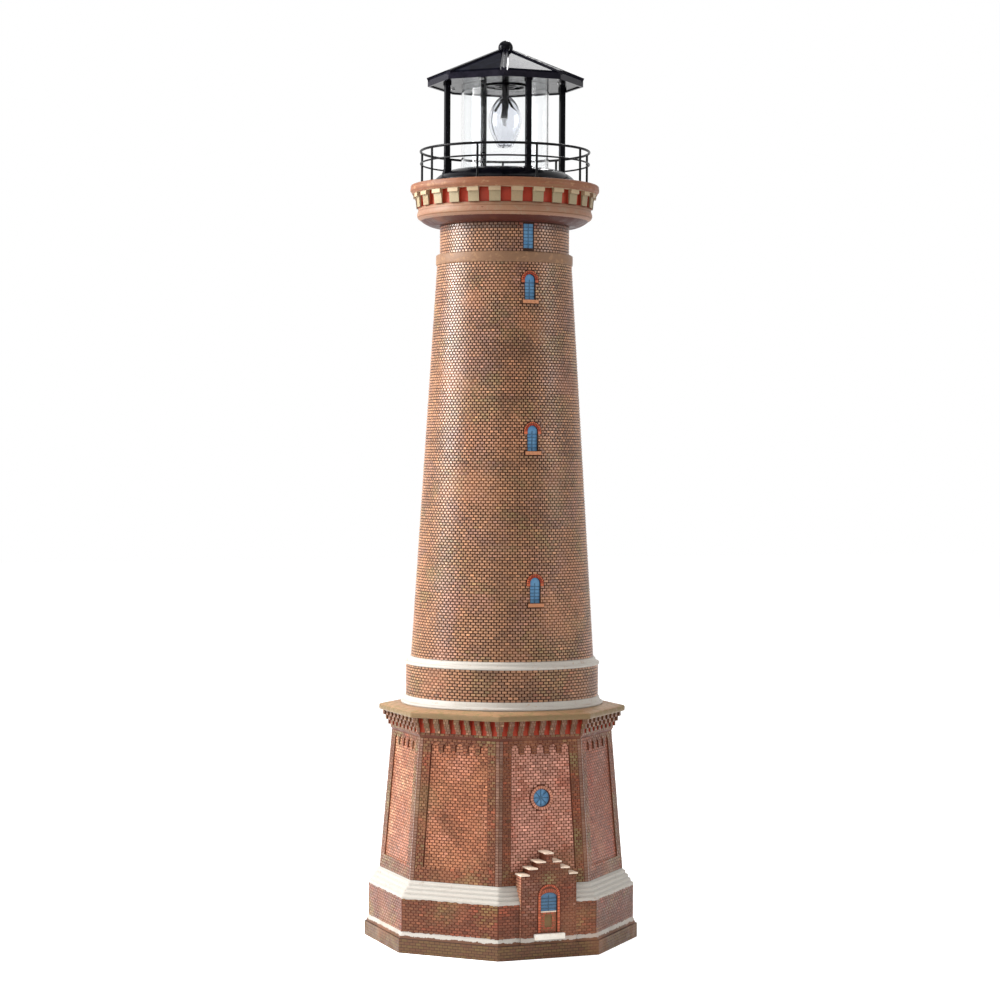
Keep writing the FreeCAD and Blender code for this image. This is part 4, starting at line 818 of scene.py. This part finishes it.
# Side 1 takes the darker panelShade tint. This is painted shade on the panel that faces away from the main lamps on
# the left.
sideTints = {0: ("blush", "rose", "mauve", "rust"), 7: ("panel", "clay", "rose", "umber"),
             6: ("panel", "sand", "rose"), 1: ("panelShade", "rust", "mauve")}
otherTints = ("panel", "rose", "clay", "umber")
wallTints = ("wall", "rust", "umber", "moss")
panelGroups, wallGroups = [], []
foot, top = 0.3, octagon["wallLength"] - 0.2
for side in range(octagon["sides"]):
    seed = 100 + 10 * side
    hole = roundWindow["hole"] if side == 0 else 0.0
    half = sideLength(frieze["radius"]) / 2 - 0.1
    onWall, onFrieze = leaningWall(side), uprightWall(side, apothem(frieze["radius"]))
    sunk = laid(lambda v, k: sunkSpans(v, hole), panel["sill"], archCrown, wallLook)
    panelGroups.append(raised(sunk, leaningWall(side, panel["depth"]), sideTints.get(side, otherTints), seed))
    wallGroups += [
        raised(laid(wallSpans, foot, top, wallLook), onWall, wallTints, seed + 1),
        raised(laid(besideSpans, panel["sill"], corbelEnd, halfLook), onWall, wallTints, seed + 2),
        raised(laid(pierSpans, foot, top, pierLook), onWall, ("pier", "umber"), seed + 3, spread=0.12),
        raised(laid(lambda v, k: [(-half, half)], frieze["foot"], frieze["head"], wallLook), onFrieze,
               ("wall", "umber", "moss"), seed + 4)]
rimBlocks = archRing((0.0, roundWindow["height"]), roundWindow["radius"] + 0.15,
                     roundWindow["radius"] + roundWindow["rim"] - 0.1, roundWindow["blocks"], 0.0, 360.0)
panelGroups.append(raised(rimBlocks, leaningWall(0, -roundWindow["proud"]), ("rose", "orange"), 190,
                          0.3, 0.18, 0.14, [((0, -117.0, 163.0), 7.0, "moss")]))
brickPiece("panel_bricks", panelGroups)
brickPiece("wall_bricks", wallGroups)

plinthLook = {"length": 5.5, "course": 2.7, "joint": 0.66, "bed": 0.52}
plinthGroups = []
for side in range(octagon["sides"]):
    half = sideLength(plinth["radius"]) / 2 - 0.15
    spans = [(-half, half)] if side else [(-half, -plinth["porchHalf"]), (plinth["porchHalf"], half)]
    plinthGroups.append(raised(laid(lambda v, k: spans, plinth["foot"], plinth["head"], plinthLook),
                               uprightWall(side, apothem(plinth["radius"]) - 0.02),
                               ("plinth", "rust", "umber", "olive"), 200 + side, height=0.4))
brickPiece("plinth_bricks", plinthGroups)

# Corbel teeth under the ledge: two columns of small bricks a course on each tooth
corbel = {"foot": 213.0, "course": 4.9, "count": 3, "step": 2.6, "first": 114.6, "gaps": 8, "gap": 5.3}
corbelLook = {"length": 2.78, "course": corbel["course"] / 2, "joint": 0.4, "bed": 0.4}
corbelGroups = []
for side in range(octagon["sides"]):
    for k in range(corbel["count"]):
        radius = corbel["first"] + corbel["step"] * k
        half = sideLength(radius) / 2 - 0.1
        pitch = sideLength(corbel["first"]) / corbel["gaps"]
        gaps = [pitch * (n - (corbel["gaps"] - 1) / 2) for n in range(corbel["gaps"])]
        edges = [-half] + [g + way * (corbel["gap"] / 2 + 0.05) for g in gaps for way in (-1, 1)] + [half]
        spans = list(zip(edges[::2], edges[1::2]))
        low = corbel["foot"] + k * corbel["course"]
        teeth = laid(lambda v, n: spans, low, low + corbel["course"], corbelLook)
        corbelGroups.append(raised(teeth, uprightWall(side, apothem(radius)), ("pier", "moss", "sand", "umber"),
                                   300 + 3 * side + k, height=0.25, arris=0.18))
brickPiece("corbel_bricks", corbelGroups)

# Porch
porch = {"front": 126.54, "half": 28.7, "foot": 20.3, "tops": (81.6, 87.7, 93.8, 102.0), "tread": 8.4, "cap": 1.4,
         "capBack": 104.5, "gableHead": 100.7, "cheekHead": 80.1, "cheekBack": 113.2, "sill": 25.0, "doorHalf": 8.5,
         "frameHalf": 11.4, "frameSpring": 60.2, "leafTop": 44.8, "stepHalf": 15.7, "stepTop": 24.3}
door = {"panelHalf": 3.45, "panelFoot": 29.8, "panelHead": 41.0, "recess": 1.2, "frameProud": 0.7,
        "ring": (9.2, 11.3, 17), "crown": (10.9, 14.4, 11, 40.0, 140.0), "crownMiddle": 52.9,
        "legs": (8.7, 11.3), "legBlocks": 13}
porchLook = {"length": 5.4, "course": 2.7, "joint": 0.7, "bed": 0.52}
leafLook = {"length": 4.1, "course": 2.45, "joint": 0.5, "bed": 0.42}


def porchSpans(v, course):
    # Half width of the gable at a height, less the door's frame and the step; the caps lie on the treads alone
    level = sum(v > t - porch["cap"] for t in porch["tops"])
    half = porch["half"] - porch["tread"] * level - 0.1
    if level == len(porch["tops"]):
        return []
    inner, frame = 0.0, porch["frameHalf"] + 0.3
    if v < porch["frameSpring"]:
        inner = frame if v > porch["sill"] else porch["stepHalf"] if v < porch["stepTop"] else 0.0
    elif v < porch["frameSpring"] + frame:
        inner = roundHalf(frame, v - porch["frameSpring"])
    return [(-half, -inner), (inner, half)] if inner else [(-half, half)]


def leafSpans(v, course):
    # The door leaf round its sunk panel
    half, inner = porch["doorHalf"] - 0.35, door["panelHalf"]
    return [(-half, -inner), (inner, half)] if door["panelFoot"] < v < door["panelHead"] else [(-half, half)]


def cheekWall(way):
    # The porch's left or right side: u runs along its depth, w out from its half width
    return lambda u, v, w: (way * (porch["half"] + w), way * u, v)


gable = laid(porchSpans, porch["foot"], porch["gableHead"], porchLook)
porchGroups = [raised(gable, uprightWall(0, porch["front"]), ("plinth", "mauve", "umber", "rust"), 400, height=0.36,
                      patches=[((0, -porch["front"], 75.5), 6.5, "moss")])]
# The porch's side walls take lighter rose, sand and clay tints than the gable. This is paler brick together with
# painted light, as on the side lit from the left.
for way in (-1, 1):
    spans = [tuple(sorted((-way * (porch["front"] - 0.1), -way * porch["cheekBack"])))]
    cheek = laid(lambda v, k: spans, porch["foot"], porch["cheekHead"], porchLook)
    porchGroups.append(raised(cheek, cheekWall(way), ("rose", "sand", "clay"), 404 + way, height=0.36))
onFrame = uprightWall(0, porch["front"] + door["frameProud"])
porchGroups += [
    raised(archRing((0.0, porch["frameSpring"]), *door["ring"]), onFrame, ("orange", "red"), 410, 0.3, 0.18),
    raised(archRing((0.0, door["crownMiddle"]), *door["crown"]), onFrame, ("rust", "moss"), 411, 0.2, 0.18)]
for way in (-1, 1):
    edges = sorted(way * edge for edge in door["legs"])
    porchGroups.append(raised(column(*edges, porch["sill"] + 0.1, porch["frameSpring"], door["legBlocks"]), onFrame,
                              ("orange", "red"), 412 + way, 0.3, 0.18))
porchGroups.append(raised(laid(leafSpans, porch["sill"] + 0.2, porch["leafTop"] - 0.3, leafLook),
                          uprightWall(0, porch["front"] - door["recess"]), ("rust", "plinth", "umber"), 416,
                          height=0.22, arris=0.15))
brickPiece("porch_bricks", porchGroups)
print("bricks laid")


# Stone trims

def slabPiece(name, x0, x1, y0, y1, z0, z1, material, seed, edge):
    # Slab with rounded edges: rectangles stacked up, drawn in near the two faces, which are one polygon each
    across, along = 2 * max(6, round((x1 - x0) / 2.2)), 2 * max(3, round((y1 - y0) / 2.2))
    s, t = np.linspace(0, 1, across, endpoint=False), np.linspace(0, 1, along, endpoint=False)
    outlineX = np.concatenate([s, np.ones(along), 1 - s, np.zeros(along)])
    outlineY = np.concatenate([np.zeros(across), t, np.ones(across), 1 - t])
    levels = [(edge, z0), (0.3 * edge, z0 + 0.3 * edge), (0, z0 + edge), (0, z1 - edge),
              (0.3 * edge, z1 - 0.3 * edge), (edge, z1)]
    points = np.concatenate([np.stack([x0 + draw + (x1 - x0 - 2 * draw) * outlineX,
                                       y0 + draw + (y1 - y0 - 2 * draw) * outlineY,
                                       np.full(len(outlineX), z)], -1) for draw, z in levels])
    points[:, :2] += 0.10 * ripple(*points.T, 6.0, seed)[:, None]
    points[:, 2] += 0.10 * ripple(*points.T, 5.0, seed + 1)
    size = len(outlineX)
    caps = [np.arange(size)[::-1], np.arange(size) + size * (len(levels) - 1)]
    mesh = makeMesh(name, points, ringQuads(len(levels), size, False), caps)
    addPiece(name, mesh, material, "tower")


cap = {"proud": 1.0, "below": 0.08, "above": 0.1, "edge": 0.35}
rail = {"half": 8.1, "front": 126.1, "back": 125.3, "foot": 44.3, "head": 45.5, "edge": 0.2}
for level, levelTop in enumerate(porch["tops"]):
    outer = porch["half"] - porch["tread"] * level + cap["proud"]
    inner = outer - cap["proud"] - porch["tread"]
    caps = [(f"left_{level + 1}", -outer, -inner, 500 + 4 * level),
            (f"right_{level + 1}", inner, outer, 502 + 4 * level)]
    if level == len(porch["tops"]) - 1:
        caps = [("top", -outer, outer, 514)]
    for capName, x0, x1, seed in caps:
        slabPiece("porch_cap_" + capName, x0, x1, -porch["front"] - cap["proud"], -porch["capBack"],
                  levelTop - porch["cap"] - cap["below"], levelTop + cap["above"], "cap_stone", seed, cap["edge"])
slabPiece("door_rail", -rail["half"], rail["half"], -rail["front"], -rail["back"], rail["foot"], rail["head"],
          "cap_stone", 516, rail["edge"])

mouldingStep = [(0.35, 0.5), (0.4, 1.0), (0.4, 1.8), (0.05, 2.45),  # out from and up a step's corner
                (-1.0, 2.9), (-1.95, 3.2), (-2.3, 3.6), (-2.35, 4.0)]
mouldingRows = [(121.5, 54.0), (133.9, 53.2)]
for k in range(moulding["steps"]):
    radius, low = plinth["radius"] - moulding["tread"] * k, plinth["head"] + moulding["rise"] * k
    mouldingRows += [(radius + out, low + up) for out, up in mouldingStep]
mouldingRows += [(122.6, 69.25), (121.5, 69.0)]
sweep("white_moulding", mouldingRows, octagonOutline(56), "ridge_stone", 0.1, 9.0, 510, (1, 1.2))

# Each band: outline, paint, slot, unevenness, size and seed of its ripple, and its profile (radius, height)
bands = {
    "ledge_slab": (octagonOutline(52), "ledge_stone", "cast_stone", 0.2, 8.0, 520, [
        (114.0, 228.2), (122.6, 227.8), (123.3, 228.1), (123.72, 229.2), (123.75, 232.0), (123.4, 233.1),
        (122.6, 233.6), (118.0, 234.6), (112.5, 235.6), (109.2, 236.0), (107.0, 235.4), (107.0, 230.0)]),
    "lower_band": (roundOutline(256), "white_stone", "white_stone", 0.2, 9.0, 530, [
        (98.0, 236.4), (101.25, 236.1), (101.5, 236.8), (101.4, 238.0), (100.5, 238.6), (98.8, 239.2),
        (98.4, 239.7), (98.35, 241.2), (97.9, 241.8), (97.6, 243.3), (97.0, 244.0), (95.8, 244.1), (95.2, 240.0)]),
    "upper_band": (roundOutline(256), "white_stone", "white_stone", 0.2, 9.0, 531, [
        (95.4, 275.3), (97.5, 275.4), (97.85, 276.1), (97.8, 277.2), (97.2, 277.9), (95.4, 278.5), (94.4, 279.1),
        (94.2, 279.8), (94.15, 281.0), (93.6, 281.7), (92.6, 282.6), (91.3, 283.1), (90.6, 281.0)]),
    "collar_band": (roundOutline(220), "collar_stone", "cast_stone", 0.16, 8.0, 532, [
        (66.6, 673.9), (67.9, 673.8), (68.5, 674.4), (68.65, 675.5), (68.65, 682.4), (68.5, 683.6), (67.9, 684.1),
        (66.0, 684.3), (64.6, 684.0), (64.0, 679.0)]),
    "gallery_torus": (roundOutline(280), "torus_stone", "cast_stone", 0.16, 7.0, 533, [
        (80.0, 716.0), (85.4, 719.7), (86.9, 720.8), (87.75, 722.4), (88.0, 724.1), (87.7, 725.8), (87.1, 727.4),
        (86.8, 728.3), (86.75, 730.7), (84.0, 730.9), (80.0, 724.0)]),
    "gallery_lip": (roundOutline(280), "lip_stone", "cast_stone", 0.16, 7.0, 534, [
        (90.0, 745.4), (92.9, 745.2), (93.1, 746.5), (93.3, 747.2), (94.3, 747.6), (94.72, 748.4), (94.75, 750.6),
        (94.2, 751.4), (93.5, 751.7), (93.3, 752.8), (92.5, 753.8), (91.0, 754.12), (89.0, 753.8), (88.4, 750.0)]),
}
for name, (outline, stone, slotName, uneven, size, seed, profile) in bands.items():
    sweep(name, profile, outline, stone, uneven, size, seed)
print("stone trims made")


# Beacon: the clear bulb, with a bull's-eye on two opposite sides
lens = {"top": 843.1, "bottom": 793.1, "wall": 1.4, "tip": 5.4, "foot": 9.1, "footHeight": 3.0,
        "skirt": 11.1, "skirtHeight": 8.0, "neck": 5.9, "wide": 16.5, "waist": 22.5,
        "hole": 3.5, "eye": 10.0, "bulge": 2.4}


def arcThrough(first, middle, last, count):
    # Points on the circle through three points: its centre lies equally far from all of them
    a, b, c = (np.array(p, float) for p in (first, middle, last))
    centre = np.linalg.solve(2 * np.stack([b - a, c - a]), np.array([b @ b - a @ a, c @ c - a @ a]))
    turns = np.unwrap([math.atan2(p[1] - centre[1], p[0] - centre[0]) for p in (a, b, c)])
    angle = np.linspace(turns[0], turns[2], count)
    reach = np.linalg.norm(a - centre)
    return centre + reach * np.stack([np.cos(angle), np.sin(angle)], -1)


def lensOutline(inset):
    # From the foot up to the neck: flat tip, rounded foot, straight skirt, then one full arc
    low, high = lens["bottom"] + inset, lens["top"] - inset
    tip, foot = lens["tip"] - inset, lens["foot"] - inset
    corner = tip + (foot - tip) * math.sqrt(0.5), low + lens["footHeight"] * (1 - math.sqrt(0.5))
    skirt = lens["skirt"] - inset, low + lens["skirtHeight"]
    widest = lens["wide"] - inset, lens["top"] - lens["waist"]
    return np.concatenate([arcThrough((tip, low), corner, (foot, low + lens["footHeight"]), 7),
                           arcThrough(skirt, widest, (lens["neck"], high), 44)])


def lensPiece():
    # The outline turned round the axis outside, over the edge of the hole and back down inside; the eyes push
    # the outer wall out by bulge * (1 - distance squared / eye squared)
    outer, inner = lensOutline(0.0), lensOutline(lens["wall"])[::-1]
    rim = [(lens["hole"], lens["top"]), (lens["hole"], lens["top"] - lens["wall"])]
    rows = np.concatenate([outer, rim, inner])
    columns = 128
    angle = np.linspace(0, 2 * math.pi, columns, endpoint=False)
    across = rows[:, :1] * np.sin(angle)
    away = across ** 2 + (rows[:, 1:2] - (lens["top"] - lens["waist"])) ** 2
    push = lens["bulge"] * np.clip(1 - away / lens["eye"] ** 2, 0, 1) * (np.arange(len(rows)) < len(outer))[:, None]
    reach = rows[:, :1] + push
    points = np.stack([reach * np.sin(angle), -reach * np.cos(angle), np.repeat(rows[:, 1:2], columns, 1)], -1)
    poles = [(0, 0, lens["bottom"]), (0, 0, lens["bottom"] + lens["wall"])]
    size = len(rows) * columns
    step = np.arange(columns)
    beside = (step + 1) % columns
    last = size - columns
    fans = np.concatenate([np.stack([np.full(columns, size), beside, step], -1),
                           np.stack([last + step, last + beside, np.full(columns, size + 1)], -1)])
    mesh = makeMesh("beacon_glass", np.concatenate([points.reshape(-1, 3), poles]),
                    ringQuads(len(rows), columns, False), list(fans))
    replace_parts(addPiece("beacon_glass", mesh, "lens_glass", "beacon"), "beacon_lens")


lensPiece()
print("beacon glass made")


# Stage: floor, background, lamps and camera

def seenDirectly(graph):
    # 1 for what the camera sees directly, in a reflection or through glass: the greatest of the three flags
    rays = graph.node("LightPath")
    straight, mirrored, through = graph.outputs(rays, ("Is Camera Ray", "Is Glossy Ray", "Is Transmission Ray"))
    return graph.maths("MAXIMUM", graph.maths("MAXIMUM", straight, mirrored), through)


stage = {"floorHalf": 9.0, "floorGlow": 0.5, "worldLevel": 0.55, "lampAim": 0.45}


def stageFloor():
    # Pale paper that keeps the shadow, lifted to white wherever it is seen
    graph = Graph("floor_paper")
    tone = graph.step(graph.noise(3.0, 2.0), 0.2, 0.8, 0.90, 0.93)
    paper = graph.node("BsdfDiffuse", None, {"Color": tone})
    strength = seenDirectly(graph) * stage["floorGlow"]
    glow = graph.node("Emission", None, {"Color": (1, 1, 1, 1), "Strength": strength})
    both = graph.node("AddShader", None, {0: paper, 1: glow})
    graph.node("OutputMaterial", None, {"Surface": both})
    mesh = bpy.data.meshes.new("floor")
    half = stage["floorHalf"]
    mesh.from_pydata([(-half, -half, 0), (half, -half, 0), (half, half, 0), (-half, half, 0)], [], [(0, 1, 2, 3)])
    mesh.materials.append(graph.owner)
    floor = placed("floor", mesh)


def studioWorld():
    # White where the camera, a reflection or glass sees it, and a soft level for everything else
    world = bpy.data.worlds.new("studio")
    bpy.context.scene.world = world
    graph = Graph("studio", world)
    soft, white = (graph.node("Background", None, {"Color": (1, 1, 1, 1), "Strength": strength})
                   for strength in (stage["worldLevel"], 1.0))
    mix = graph.node("MixShader", None, {0: seenDirectly(graph), 1: soft, 2: white})
    graph.node("OutputWorld", None, {"Surface": mix})


camera = {"azimuth": -21.5, "distance": 2.582, "height": 0.4824, "lens": 92.4, "sensor": 36.0,
          "down": 0.96, "roll": 0.33, "aside": 0.067}
lamps = {  # angle round from the camera (left is negative), distance, height, width, height of the panel, power
    "left_box": (-81, 1.25, 1.0, 0.6, 1.2, 31.0),
    "strip_box": (-96, 1.25, 1.1, 0.22, 0.8, 24.0),
    "front_box": (-25, 2.6, 1.3, 1.6, 1.4, 16.0),
    "right_box": (75, 1.9, 1.15, 0.8, 1.1, 13.0),
    "top_box": (0, 0.3, 2.4, 1.6, 1.6, 12.0),
    "back_box": (171, 2.2, 2.25, 0.4, 0.4, 16.0),
}


def around(angle, distance, height):
    # The sine and minus the cosine of the angle, times the distance from the axis
    turn = math.radians(camera["azimuth"] + angle)
    return Vector((math.sin(turn) * distance, -math.cos(turn) * distance, height))


for name, (angle, distance, height, width, tall, power) in lamps.items():
    data = bpy.data.lights.new(name, "AREA")
    data.shape = "RECTANGLE"
    data.size, data.size_y, data.energy = width, tall, power
    lamp = placed(name, data)
    lamp.location = around(angle, distance, height)
    lamp.rotation_euler = (Vector((0, 0, stage["lampAim"])) - lamp.location).to_track_quat("-Z", "Y").to_euler()

stageFloor()
studioWorld()
eye = bpy.data.cameras.new("photo_view")
eye.lens, eye.sensor_width, eye.clip_end = camera["lens"], camera["sensor"], 60.0
seat = placed("photo_view", eye)
seat.location = around(0, camera["distance"], camera["height"])
aim = Euler((math.radians(90 - camera["down"]), 0, math.radians(camera["azimuth"] + camera["aside"])), "XYZ")
seat.rotation_euler = (aim.to_matrix() @ Euler((0, 0, math.radians(camera["roll"]))).to_matrix()).to_euler()
bpy.context.scene.camera = seat
bpy.context.scene.view_settings.view_transform = "Standard"
